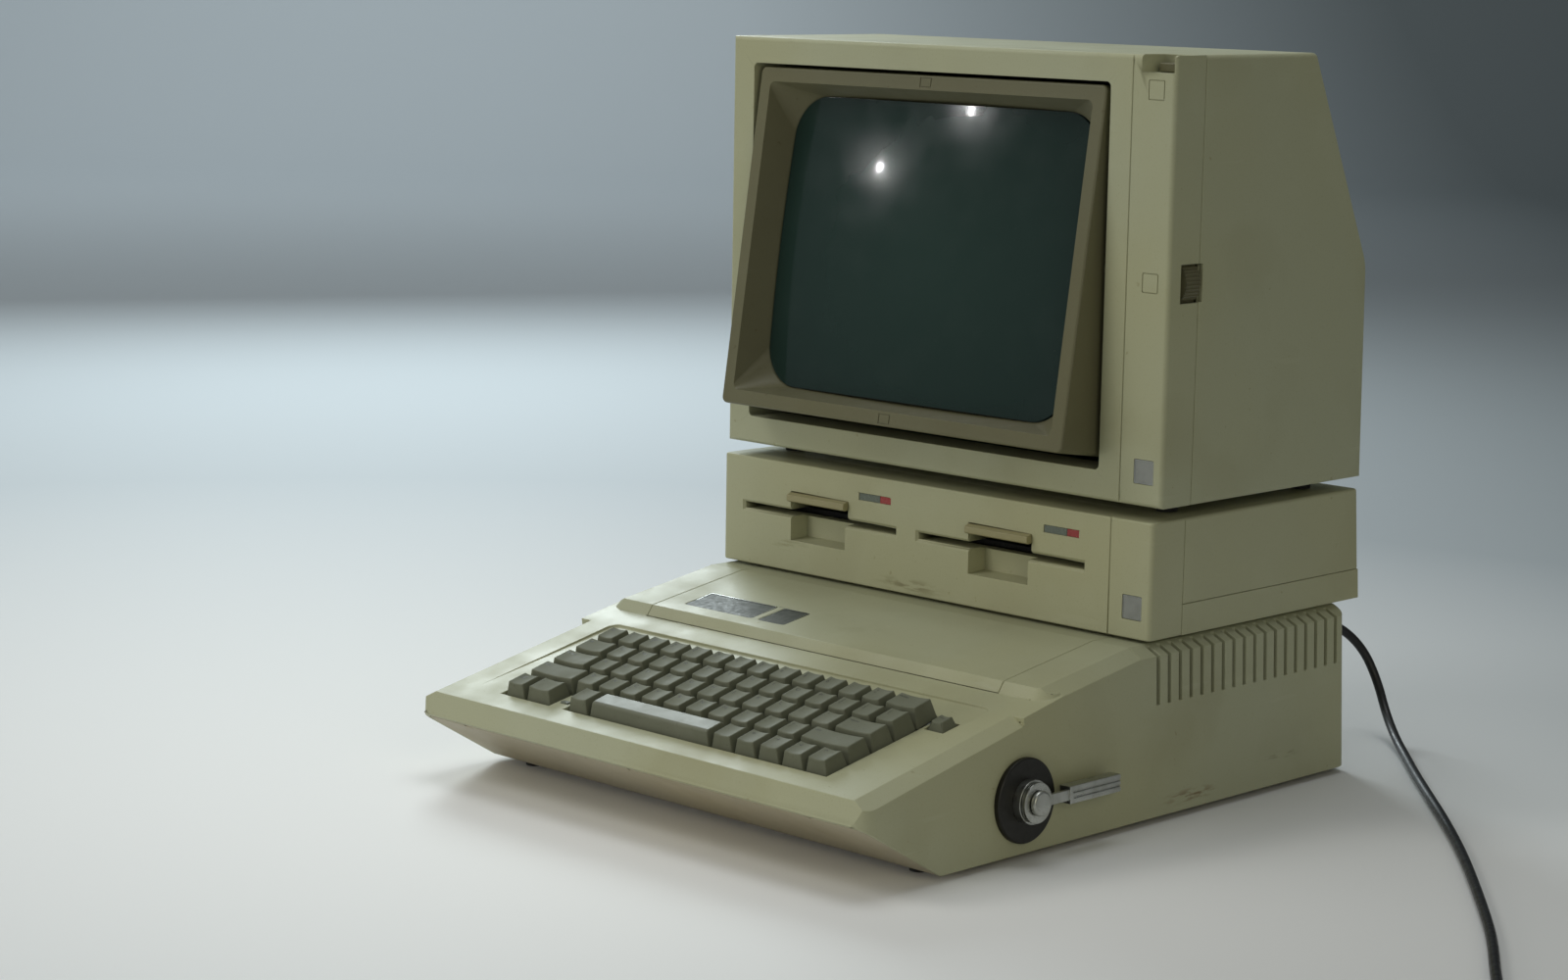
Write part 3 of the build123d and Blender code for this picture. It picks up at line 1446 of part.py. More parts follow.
with BuildPart() as monitor_shell:
    add(monitor_outside)
    knee = monitor_shell.edges().filter_by(Axis.X).sort_by(Axis.Y)[-2:]
    fillet(knee.sort_by(Axis.Z)[-1], knee_round)
    fillet(monitor_shell.edges().filter_by(Axis.Y).group_by(Axis.Z)[-1], monitor_round)
    add(monitor_inside, mode=Mode.SUBTRACT)
    add(neck_inside, mode=Mode.SUBTRACT)
    # Ventilation slots across the sloping rear
    slope_run = monitor_side_depth - knee_back - monitor_top_depth
    slope_rise = monitor_height - knee_height
    rear_slope = Plane(
        origin=(
            0,
            monitor_front + monitor_top_depth + slope_run * 0.28,
            monitor_top - slope_rise * 0.28,
        ),
        x_dir=(1, 0, 0),
        z_dir=(0, slope_rise, slope_run),
    )
    with BuildSketch(rear_slope):
        with GridLocations(14, 1, 20, 1):
            Rectangle(4, 36)
    extrude(amount=2 * monitor_wall, both=True, mode=Mode.SUBTRACT)
    # Part of the side wheel's notch that lies behind the seam
    with BuildSketch(side.offset(wheel_x)):
        with Locations((wheel_y, wheel_z)):
            Rectangle(*wheel_notch)
    extrude(amount=2 * wheel_radius, mode=Mode.SUBTRACT)
keep(monitor_shell, "monitor_shell")

with BuildPart() as monitor_neck_cover:
    add(neck_cover(0))
    add(neck_inside, mode=Mode.SUBTRACT)
    add(shell_block(monitor_profile(monitor_seam_y), monitor_width, -gap), mode=Mode.SUBTRACT)
keep(monitor_neck_cover, "monitor_neck_cover")

with BuildPart() as monitor_feet:
    with BuildSketch(Plane.XY.offset(monitor_bottom - monitor_foot_height)):
        with Locations(*[
            (hand * monitor_foot_x, y_at(run)) for hand in (-1, 1) for run in monitor_foot_runs
        ]):
            Circle(foot_radius)
    extrude(amount=monitor_foot_height, taper=-4)
keep(monitor_feet, "monitor_feet")

with BuildPart() as monitor_power_button:
    with BuildSketch(front_face(monitor_front + button_set_back)):
        with Locations((button_x, button_z)):
            RectangleRounded(button_width, button_height, 1)
    extrude(amount=-(power_notch_depth - button_travel - 1 - button_set_back))
    fillet(monitor_power_button.faces().sort_by(Axis.Y)[0].edges(), 0.8)
    # Stem through the pocket's wall, and the clip that holds it from behind
    with BuildSketch(front_face(monitor_front + button_set_back + 2)):
        with Locations((stem_x, button_z)):
            Rectangle(*button_stem)
    extrude(amount=-(power_notch_depth + monitor_wall + gap - button_set_back))
    with BuildSketch(front_face(monitor_front + power_notch_depth + monitor_wall + gap)):
        with Locations((stem_x, button_z)):
            Rectangle(button_stem[0] + 4, button_stem[1])
    extrude(amount=-2)
keep(monitor_power_button, "monitor_power_button")

with BuildPart() as contrast_wheel:
    with BuildSketch(front_face(wheel_y - wheel_thick / 2)):
        with Locations((wheel_x, wheel_z)):
            Circle(wheel_radius)
    extrude(amount=-wheel_thick)
    fillet(contrast_wheel.edges(), 0.8)
    # Knurling
    with BuildSketch(front_face(wheel_y - wheel_thick / 2)):
        with Locations((wheel_x, wheel_z)):
            with PolarLocations(wheel_radius, 40):
                Circle(0.6)
    extrude(amount=-wheel_thick, mode=Mode.SUBTRACT)
    with BuildSketch(front_face(wheel_y)):
        with Locations((wheel_x, wheel_z)):
            Circle(wheel_shaft)
    extrude(amount=wheel_back - 6)
keep(contrast_wheel, "contrast_wheel")

# ---------------------------------------------------------------- tilting screen
# Its frame lies at the pivot: x to the right, y up the screen, z out of the glass.
screen_plane = Plane(
    origin=(screen_x, tilt_y, tilt_pivot_z),
    x_dir=(1, 0, 0),
    z_dir=(0, -cos(radians(tilt_rest)), sin(radians(tilt_rest))),
)
bezel_middle = Location((0, -bezel_drop))
mouth_of_bezel = (bezel_width - 2 * bezel_border, bezel_height - 2 * bezel_border)


def screen_funnel(skin):
    """Space that narrows from the bezel's border to the glass, or the same with a skin around it."""
    with BuildPart(mode=Mode.PRIVATE) as funnel:
        with BuildSketch(screen_plane.offset(bezel_proud)):
            with Locations(bezel_middle):
                RectangleRounded(mouth_of_bezel[0] + 2 * skin, mouth_of_bezel[1] + 2 * skin, 4)
        with BuildSketch(screen_plane.offset(bezel_proud - glass_set_back)):
            with Locations(bezel_middle):
                RectangleRounded(
                    glass_width + 2 * skin, glass_height + 2 * skin, glass_corner + skin
                )
        loft()
    return funnel.part


funnel_outer = screen_funnel(bezel_wall)
funnel_inner = screen_funnel(0)

with BuildPart() as tilt_bezel:
    with BuildSketch(screen_plane.offset(bezel_proud)):
        with Locations(bezel_middle):
            RectangleRounded(bezel_width, bezel_height, 4)
    extrude(amount=-bezel_depth)
    fillet(tilt_bezel.faces().sort_by(Axis.Y)[0].edges(), 1.5)
    with BuildSketch(screen_plane.offset(bezel_proud - bezel_wall)):
        with Locations(bezel_middle):
            Rectangle(bezel_width - 2 * bezel_wall, bezel_height - 2 * bezel_wall)
    extrude(amount=-bezel_depth, mode=Mode.SUBTRACT)
    add(funnel_outer)
    add(funnel_inner, mode=Mode.SUBTRACT)
    # Engraved squares on the border above and below the glass
    with BuildSketch(screen_plane.offset(bezel_proud)):
        for hand in (-1, 1):
            with Locations((0, -bezel_drop + hand * (bezel_height - bezel_border) / 2)):
                Rectangle(bezel_border, bezel_border * 0.66)
                Rectangle(
                    bezel_border - 2 * icon_line,
                    bezel_border * 0.66 - 2 * icon_line,
                    mode=Mode.SUBTRACT,
                )
    extrude(amount=-0.5, mode=Mode.SUBTRACT)
    # Pivot pins
    for hand in (-1, 1):
        with BuildSketch(side.offset(screen_x + hand * (bezel_width / 2 - bezel_wall))):
            with Locations((tilt_y, tilt_pivot_z)):
                Circle(tilt_pin)
        pin_end = mouth_x + hand * (mouth_width / 2 + monitor_wall)
        extrude(amount=pin_end - (screen_x + hand * (bezel_width / 2 - bezel_wall)))
keep(tilt_bezel, "tilt_bezel")

glass_face = bezel_proud - glass_set_back - gap
tube_flange = 3.5
bulge_span = hypot(glass_width, glass_height) / 2
bulge_radius = (bulge_span**2 + glass_bulge**2) / (2 * glass_bulge)


def tube_form(inset):
    """Outer form of the picture tube behind its face, or the space inside it."""
    wide = glass_width + 2 * tube_flange - 2 * inset
    high = glass_height + 2 * tube_flange - 2 * inset
    throat = 3 * neck_radius - 2 * inset
    with BuildPart(mode=Mode.PRIVATE) as form:
        with BuildSketch(screen_plane.offset(glass_face - inset)):
            with Locations(bezel_middle):
                RectangleRounded(wide, high, glass_corner)
        with BuildSketch(screen_plane.offset(glass_face - 22)):
            with Locations(bezel_middle):
                RectangleRounded(wide, high, glass_corner)
        loft()
        with BuildSketch(screen_plane.offset(glass_face - 22)):
            with Locations(bezel_middle):
                RectangleRounded(wide, high, glass_corner)
        with BuildSketch(screen_plane.offset(glass_face - funnel_length + inset)):
            with Locations(bezel_middle):
                RectangleRounded(throat, throat, throat / 2 - 0.5)
        loft()
        with BuildSketch(screen_plane.offset(glass_face - funnel_length + 2 * glass_thick)):
            with Locations(bezel_middle):
                Circle(neck_radius - inset)
        extrude(amount=-neck_length - 2 * glass_thick)
    return form.part


tube_outside = tube_form(0)
tube_space = tube_form(glass_thick)

with BuildPart() as picture_tube:
    add(tube_outside)
    # Bulged face
    with BuildSketch(screen_plane.offset(glass_face)):
        with Locations(bezel_middle):
            RectangleRounded(glass_width - 1, glass_height - 1, glass_corner)
    extrude(amount=glass_bulge)
    face_centre = screen_plane.offset(glass_face + glass_bulge - bulge_radius)
    with BuildPart(mode=Mode.PRIVATE) as ball:
        with Locations(face_centre.location * bezel_middle):
            Sphere(bulge_radius)
    add(ball.part, mode=Mode.INTERSECT)
    add(tube_space, mode=Mode.SUBTRACT)
keep(picture_tube, "picture_tube")

neck_start = glass_face - funnel_length - 3
neck_end = glass_face - funnel_length - neck_length - gap
with BuildPart() as tube_fittings:
    with BuildSketch(screen_plane.offset(neck_start)):
        with Locations(bezel_middle):
            Circle(yoke_radius)
            Circle(neck_radius + shaft_play, mode=Mode.SUBTRACT)
    extrude(amount=-yoke_length)
    chamfer(tube_fittings.edges().filter_by(GeomType.CIRCLE).sort_by(SortBy.RADIUS)[-2:], 5)
    # Socket and its board at the end of the neck
    with BuildSketch(screen_plane.offset(neck_end)):
        with Locations(bezel_middle):
            Circle(neck_radius)
    extrude(amount=-socket_depth)
    with BuildSketch(screen_plane.offset(neck_end - socket_depth)):
        with Locations(bezel_middle):
            Rectangle(socket_board, socket_board)
    extrude(amount=-board_thick)
keep(tube_fittings, "tube_fittings")

monitor_board_low = monitor_bottom + monitor_wall + board_lift
with BuildPart() as monitor_board:
    with BuildSketch(Plane.XY.offset(monitor_board_low)):
        with Locations((0, monitor_seam_y + monitor_board_back)):
            Rectangle(*monitor_board_size)
    extrude(amount=board_thick)
    with BuildSketch(Plane.XY.offset(monitor_board_low)):
        with Locations((0, monitor_seam_y + monitor_board_back)):
            with GridLocations(monitor_board_size[0] - 16, monitor_board_size[1] - 16, 2, 2):
                Circle(post_radius)
    extrude(amount=-board_lift + gap)
    with BuildSketch(Plane.XY.offset(monitor_board_low + board_thick)):
        with Locations((-60, monitor_seam_y + monitor_board_back + 10)):
            Rectangle(40, 44)
        with Locations((40, monitor_seam_y + monitor_board_back + 10)):
            Circle(12)
        with Locations((80, monitor_seam_y + monitor_board_back)):
            Rectangle(16, 50)
    extrude(amount=20)
keep(monitor_board, "monitor_board")

# ---------------------------------------------------------------- mains cord
connector_y = supply_rear + 2 + gap
cord_start_y = connector_y + connector_length + relief_length
cord_radius = cord_diameter / 2

with BuildPart() as cord_connector:
    with BuildSketch(front_face(connector_y)):
        with Locations((cord_x, cord_z)):
            RectangleRounded(*connector_size, 3)
    extrude(amount=-connector_length)
    fillet(cord_connector.faces().sort_by(Axis.Y)[-1].edges(), 2)
    with BuildSketch(front_face(connector_y)):
        with Locations((cord_x, cord_z)):
            RectangleRounded(inlet_width - 5 - 2 * gap, inlet_height - 5 - 2 * gap, 1.7)
    extrude(amount=connector_insert)
    # Strain relief that tapers to the cord
    with BuildSketch(front_face(connector_y + connector_length)):
        with Locations((cord_x, cord_z)):
            Circle(relief_radius)
    with BuildSketch(front_face(cord_start_y)):
        with Locations((cord_x, cord_z)):
            Circle(cord_radius + 0.4)
    loft()
keep(cord_connector, "cord_connector")

route = [Vector(cord_x, cord_start_y, cord_z)] + [Vector(*point) for point in cord_points]
bend_radii = []
for before, corner, after in zip(route, route[1:], route[2:]):
    turn = (corner - before).get_angle(after - corner)
    shorter = min((corner - before).length, (after - corner).length)
    bend_radii.append(0.45 * shorter / tan(radians(turn / 2)))
print("cord bend radii", [round(radius, 1) for radius in bend_radii])

with BuildPart() as mains_cord:
    with BuildLine() as cord_line:
        FilletPolyline(*route, radius=bend_radii)
    with BuildSketch(front_face(cord_start_y)):
        with Locations((cord_x, cord_z)):
            Circle(cord_radius)
    sweep(path=cord_line.wires()[0])
keep(mains_cord, "mains_cord")
tube_length = cord_line.wires()[0].length
print("cord tube length", round(tube_length, 1), "volume ratio",
      round(mains_cord.part.volume / (tube_length * 3.14159265 * cord_radius**2), 4))

with BuildPart() as cord_coil:
    coil_high = coil_layers * cord_diameter
    coil_section = Plane(origin=(coil_x, coil_y, 0), x_dir=(1, 0, 0), z_dir=(0, -1, 0))
    with BuildSketch(coil_section):
        with Locations((coil_diameter / 2, cord_rise + coil_high / 2)):
            RectangleRounded(coil_columns * cord_diameter, coil_high, cord_radius)
    revolve(axis=Axis((coil_x, coil_y, 0), (0, 0, 1)))
keep(cord_coil, "cord_coil")

# The plug lies along the coil's edge, its tail where the outer turn leaves the coil.
plug_way = Vector(cos(radians(plug_turn)), sin(radians(plug_turn)), 0)
plug_side = Vector(-plug_way.Y, plug_way.X, 0)
outer_turn = coil_diameter / 2 + cord_diameter
plug_low = Vector(coil_x, coil_y, cord_rise + plug_size[1] / 2)
plug_plane = Plane(
    origin=plug_low + plug_side * outer_turn + plug_way * plug_start,
    x_dir=plug_side,
    z_dir=plug_way,
)
with BuildPart() as mains_plug:
    with BuildSketch(plug_plane):
        Circle(cord_radius)
    with BuildSketch(plug_plane.offset(plug_tail)):
        Circle(relief_radius)
    loft()
    with BuildSketch(plug_plane.offset(plug_tail)):
        RectangleRounded(*plug_size, 4)
    extrude(amount=plug_length)
    with BuildSketch(plug_plane.offset(plug_tail + plug_length)):
        with GridLocations(blade_spacing, 1, 2, 1):
            Rectangle(*blade_size)
        with Locations((0, -plug_size[1] / 2 + 4)):
            Circle(2.4)
    extrude(amount=blade_length)
keep(mains_plug, "mains_plug")
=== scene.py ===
import json
import math

import bmesh
import bpy
from mathutils import Matrix, Vector


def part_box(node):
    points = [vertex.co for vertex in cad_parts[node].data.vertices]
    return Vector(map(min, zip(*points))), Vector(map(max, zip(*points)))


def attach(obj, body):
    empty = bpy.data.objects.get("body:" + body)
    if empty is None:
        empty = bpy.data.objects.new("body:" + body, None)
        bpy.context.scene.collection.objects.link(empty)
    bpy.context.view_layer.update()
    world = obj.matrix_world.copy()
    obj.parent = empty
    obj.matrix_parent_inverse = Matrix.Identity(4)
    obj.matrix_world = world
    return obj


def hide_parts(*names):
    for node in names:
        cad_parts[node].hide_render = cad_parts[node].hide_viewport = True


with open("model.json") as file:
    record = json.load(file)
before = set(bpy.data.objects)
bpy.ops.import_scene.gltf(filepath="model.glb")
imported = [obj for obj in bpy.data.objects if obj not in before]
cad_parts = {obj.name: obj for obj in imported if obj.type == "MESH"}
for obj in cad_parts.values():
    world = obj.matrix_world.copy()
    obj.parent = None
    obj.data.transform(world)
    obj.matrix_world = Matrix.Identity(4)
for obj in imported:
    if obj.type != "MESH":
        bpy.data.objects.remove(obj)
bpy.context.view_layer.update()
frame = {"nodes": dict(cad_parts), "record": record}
nodes = frame["nodes"]
scene = bpy.context.scene
MM = 0.001

# ---------------------------------------------------------------- sizes shared with the CAD model
# The case's middle lies this far beside the origin.
CASE_X = -7.2755 * MM
KEY_UNIT = 19.05 * MM
KEY_BASE = 18.2 * MM
KEY_CROWN = 13.0 * MM
KEY_SHIFT = 1.2 * MM
KEY_DISH = 0.9 * MM
KEY_SLOPE = math.radians(14.3)
KEYS_CORNER = Vector((CASE_X - 135.5 * MM, -156.0 * MM, 87.4 * MM))
RESET_PLACE = (15.05, 0.0)
RESET_CROWN = 7.8 * MM
RESET_BELOW = 7.0 * MM
CORD_DIAMETER = 6.0 * MM
CORD_START = (122.0, 231.546, 80.0)
CORD_POINTS = [
    (122.0, 252.0, 79.5),
    (126.0, 274.0, 73.0),
    (134.0, 290.0, 57.0),
    (144.0, 293.5, 36.0),
    (157.0, 286.0, 17.0),
    (178.0, 268.0, 6.0),
    (201.0, 245.0, 3.2),
    (231.0, 211.0, 3.2),
    (270.0, 168.8, 3.2),
    (319.0, 116.2, 3.2),
    (370.6, 56.8, 3.2),
    (422.7, -7.7, 3.2),
    (466.6, -63.7, 3.2),
    (508.8, -126.1, 3.2),
    (540.0, -166.0, 3.2),
    (563.4, -202.5, 3.2),
]
COIL_MIDDLE = (534.0, -223.0)
# Radius and height of each turn, from the first one that the cord lays down
COIL_TURNS = [(39.0, 3.2), (33.0, 3.2), (27.0, 3.2), (27.0, 9.2), (35.0, 9.2)]
COIL_START = 34.0
COIL_STEPS = 16
PLUG_WAY = 190.0
PLUG_RADIUS = 39.0
PLUG_HEIGHT = 8.7
# Face of the picture tube: width, height and corner, radius of its bulge, lean of the screen
SCREEN_SIZE = (254.0 * MM, 189.0 * MM, 26.0 * MM)
SCREEN_RADIUS = 1409.0 * MM
SCREEN_TILT = math.radians(8.6)
# Middle of the screen, and how far its bulged face lies above and before it
SCREEN_PLACE = (CASE_X - 14.5 * MM, 10.0 * MM, 329.0 * MM)
SCREEN_LOW = -3.3 * MM
SCREEN_OUT = 9.35 * MM
GLASS_STEPS = 24
# Turn of the monitor's sloping rear from level, and a place just inside its slots
VENT_SLOPE = math.atan2(-132.0, 61.9)
VENT_PLACE = (CASE_X, 151.0 * MM, 418.0 * MM)

# ---------------------------------------------------------------- camera
YAW, PITCH, ROLL = 0.7754658, -0.1622590, 0.0175046
EYE = Vector((1.404046 + CASE_X, -1.563714, 0.520377))
AHEAD = Vector((-math.sin(YAW) * math.cos(PITCH), math.cos(YAW) * math.cos(PITCH), math.sin(PITCH)))
SENSOR_WIDTH_MM = 36.0
FOCAL_LENGTH_MM = 77.263
FARTHEST_SEEN = 50.0


def add_camera():
    """The photograph's viewpoint: in front of the right-hand corner, a little above the monitor."""
    data = bpy.data.cameras.new("camera")
    data.sensor_width = SENSOR_WIDTH_MM
    data.lens = FOCAL_LENGTH_MM
    data.clip_end = FARTHEST_SEEN
    eye = bpy.data.objects.new("camera", data)
    scene.collection.objects.link(eye)
    right = AHEAD.cross(Vector((0, 0, 1))).normalized()
    up = right.cross(AHEAD)
    rolled_right = right * math.cos(ROLL) + up * math.sin(ROLL)
    rolled_up = up * math.cos(ROLL) - right * math.sin(ROLL)
    turn = Matrix((rolled_right, rolled_up, -AHEAD)).transposed().to_4x4()
    eye.matrix_world = Matrix.Translation(EYE) @ turn
    scene.camera = eye


# ---------------------------------------------------------------- mesh helpers
def new_object(name, data, material):
    """Links a mesh or curve as a piece with one material."""
    piece = bpy.data.objects.new(name, data)
    scene.collection.objects.link(piece)
    data.materials.clear()
    data.materials.append(material)
    return piece


def form_object(name, form, material):
    """Turns a finished form into a piece with one material."""
    mesh = bpy.data.meshes.new(name)
    form.to_mesh(mesh)
    form.free()
    return new_object(name, mesh, material)


def apply_modifiers(piece):
    """Bakes a piece's modifiers into its mesh."""
    graph = bpy.context.evaluated_depsgraph_get()
    piece.data = bpy.data.meshes.new_from_object(piece.evaluated_get(graph))
    piece.modifiers.clear()


def smooth(piece, angle):
    """Smooth shading that keeps edges sharper than an angle."""
    for face in piece.data.polygons:
        face.use_smooth = True
    piece.data.set_sharp_from_angle(angle=math.radians(angle))


def body_of(node):
    """Name of the body that a CAD node belongs to."""
    bodies = frame["record"]["behaviour"]["bodies"]
    return next(body for body, members in bodies.items() if node in members)


def slot_of(node):
    """Material slot of a CAD node."""
    subparts = frame["record"]["subparts"]
    return next(entry["material_slot"] for entry in subparts if entry["node"] == node)


# Two faces broader than this meet in a fold that is rounded from a small angle on.
BROAD_FACE = 3 * MM
FOLD_ANGLE = math.radians(8.5)
# Edges that turn more than this and aren't rounded are shaded sharp.
SHARP_ANGLE = math.radians(14)


def mark_edges(form, angle, least, hollows):
    """Marks the edges to round: sharp ones and folds between broad faces, if not under a length."""
    weight = form.edges.layers.float.new("bevel_weight_edge")
    for edge in form.edges:
        turn = edge.calc_face_angle(0)
        length = edge.calc_length()
        broad = min((face.calc_area() / length for face in edge.link_faces), default=0)
        folded = turn > FOLD_ANGLE and broad > BROAD_FACE
        rounded = turn > math.radians(angle) or folded
        if rounded and length > least and (hollows or edge.is_convex):
            edge[weight] = 1
        elif turn > SHARP_ANGLE:
            edge.smooth = False


def bevel_edges(piece, width, segments, clamp):
    """Rounds a piece's marked edges and keeps the faces between them evenly shaded."""
    for face in piece.data.polygons:
        face.use_smooth = True
    bevel = piece.modifiers.new("bevel", "BEVEL")
    bevel.width = width
    bevel.segments = segments
    bevel.limit_method = "WEIGHT"
    bevel.use_clamp_overlap = clamp
    flat = piece.modifiers.new("flat", "WEIGHTED_NORMAL")
    flat.mode = "FACE_AREA"
    flat.weight = 90
    flat.keep_sharp = True
    apply_modifiers(piece)


# Higher than any face's normal can point, so that every face is cut
ALL_FACES = 2.0


def soft_copy(
    node,
    width=0.5,
    segments=2,
    angle=30,
    material=None,
    clamp=False,
    least=0.0,
    hollows=True,
    split=ALL_FACES,
):
    """A copy of a CAD node's form with small rounded edges, which stands for the node.

    Edges sharper than the angle in degrees are rounded by the width in millimetres, if they are
    longer than least and, without hollows, only where they stand out. Faces whose normal points
    lower than split are cut into convex ones first, so that none closes an opening it goes round.
    """
    mesh = nodes[node].data.copy()
    form = bmesh.new()
    form.from_mesh(mesh)
    bmesh.ops.remove_doubles(form, verts=form.verts, dist=1e-6)
    bmesh.ops.dissolve_limit(
        form, angle_limit=math.radians(1.0), verts=form.verts, edges=form.edges
    )
    open_faces = [face for face in form.faces if face.normal.z < split]
    bmesh.ops.connect_verts_concave(form, faces=open_faces)
    mark_edges(form, angle, least * MM, hollows)
    form.to_mesh(mesh)
    form.free()
    slot = slot_of(node)
    piece = new_object(f"{node}_soft", mesh, material or materials[slot])
    bevel_edges(piece, width * MM, segments, clamp)
    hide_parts(node)
    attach(piece, body_of(node))


def corner_point(half_width, half_height, radius, quarter, degrees):
    """Point on a rectangle's rounded corner, counted anticlockwise from the upper right one."""
    sx, sy = ((1, 1), (-1, 1), (-1, -1), (1, -1))[quarter % 4]
    turn = math.radians(degrees)
    x = sx * (half_width - radius) + radius * math.cos(turn)
    y = sy * (half_height - radius) + radius * math.sin(turn)
    return x, y


def plate(name, width, height, thick, corner, place, material, hole=0.0):
    """Flat plate with rounded corners, its back in a frame's plane.

    With a hole it is a ring, and the hole is the width of its border.
    """
    form = bmesh.new()

    def ring(half_width, half_height, radius, level):
        loop = []
        for quarter in range(4):
            for step in range(5):
                degrees = 90 * quarter + 22.5 * step
                x, y = corner_point(half_width, half_height, radius, quarter, degrees)
                loop.append(form.verts.new(place @ Vector((x, y, level))))
        return loop

    def wall(a, b):
        for i in range(len(a)):
            j = (i + 1) % len(a)
            form.faces.new((a[i], a[j], b[j], b[i]))

    soft = thick * 0.35
    low = ring(width / 2, height / 2, corner, 0)
    edge = ring(width / 2, height / 2, corner, thick - soft)
    top = ring(width / 2 - soft, height / 2 - soft, max(corner - soft, soft), thick)
    wall(low, edge)
    wall(edge, top)
    if hole:
        inner_corner = max(corner - hole, soft)
        inner = ring(width / 2 - hole, height / 2 - hole, inner_corner, thick)
        foot = ring(width / 2 - hole, height / 2 - hole, inner_corner, 0)
        wall(top, inner)
        wall(inner, foot)
        wall(foot, low)
    else:
        form.faces.new(top)
        form.faces.new(reversed(low))
    piece = form_object(name, form, material)
    smooth(piece, 40)
    return piece


# ---------------------------------------------------------------- materials
class Shader:
    """A node material built up from object coordinates: noises, masks, tints and relief."""

    def __init__(self, name, color, roughness, metallic=0.0, specular=0.5, coat=0.0):
        self.material = bpy.data.materials.new(name)
        self.material.use_nodes = True
        self.tree = self.material.node_tree
        self.bsdf = self.tree.nodes["Principled BSDF"]
        self.bsdf.inputs["Base Color"].default_value = (*color, 1)
        self.bsdf.inputs["Roughness"].default_value = roughness
        self.bsdf.inputs["Metallic"].default_value = metallic
        self.bsdf.inputs["Specular IOR Level"].default_value = specular
        self.bsdf.inputs["Coat Weight"].default_value = coat
        self.coords = self.tree.nodes.new("ShaderNodeTexCoord").outputs["Object"]

    def noise(self, per_mm, detail=2.0, stretch=(1, 1, 1)):
        """Noise whose features are about 1 / per_mm millimetres across."""
        mapping = self.tree.nodes.new("ShaderNodeMapping")
        mapping.inputs["Scale"].default_value = [per_mm / MM * axis for axis in stretch]
        self.tree.links.new(self.coords, mapping.inputs["Vector"])
        node = self.tree.nodes.new("ShaderNodeTexNoise")
        node.inputs["Scale"].default_value = 1.0
        node.inputs["Detail"].default_value = detail
        self.tree.links.new(mapping.outputs["Vector"], node.inputs["Vector"])
        return node.outputs["Fac"]

    def ramp(self, value, low, high, start=0.0, end=1.0):
        """Maps a value between two limits to a range."""
        node = self.tree.nodes.new("ShaderNodeMapRange")
        node.inputs["From Min"].default_value = low
        node.inputs["From Max"].default_value = high
        node.inputs["To Min"].default_value = start
        node.inputs["To Max"].default_value = end
        self.tree.links.new(value, node.inputs["Value"])
        return node.outputs["Result"]

    def multiply(self, a, b):
        """Product of two masks."""
        node = self.tree.nodes.new("ShaderNodeMath")
        node.operation = "MULTIPLY"
        self.tree.links.new(a, node.inputs[0])
        self.tree.links.new(b, node.inputs[1])
        return node.outputs["Value"]

    def spot(self, middle, reach):
        """Mask of a soft ellipsoid around a place of the object, both in millimetres."""
        mapping = self.tree.nodes.new("ShaderNodeMapping")
        mapping.vector_type = "TEXTURE"
        mapping.inputs["Location"].default_value = [c * MM for c in middle]
        mapping.inputs["Scale"].default_value = [c * MM for c in reach]
        self.tree.links.new(self.coords, mapping.inputs["Vector"])
        node = self.tree.nodes.new("ShaderNodeTexGradient")
        node.gradient_type = "SPHERICAL"
        self.tree.links.new(mapping.outputs["Vector"], node.inputs["Vector"])
        return node.outputs["Fac"]

    def tint(self, value, color):
        """Mixes another colour over the base where the value is high."""
        node = self.tree.nodes.new("ShaderNodeMix")
        node.data_type = "RGBA"
        socket = self.bsdf.inputs["Base Color"]
        if socket.is_linked:
            self.tree.links.new(socket.links[0].from_socket, node.inputs[6])
        else:
            node.inputs[6].default_value = socket.default_value
        node.inputs[7].default_value = (*color, 1)
        self.tree.links.new(value, node.inputs[0])
        self.tree.links.new(node.outputs[2], socket)

    def roughen(self, value, start, end):
        """Roughness that follows a noise."""
        self.tree.links.new(self.ramp(value, 0.3, 0.7, start, end), self.bsdf.inputs["Roughness"])

    def bump(self, value, depth_mm):
        """Adds surface relief of a depth in millimetres."""
        node = self.tree.nodes.new("ShaderNodeBump")
        node.inputs["Distance"].default_value = depth_mm * MM
        self.tree.links.new(value, node.inputs["Height"])
        normal = self.bsdf.inputs["Normal"]
        if normal.is_linked:
            self.tree.links.new(normal.links[0].from_socket, node.inputs["Normal"])
        self.tree.links.new(node.outputs["Normal"], normal)


def scaled(color, factors):
    """A colour multiplied channel by channel."""
    return tuple(min(1.0, c * f) for c, f in zip(color, factors))


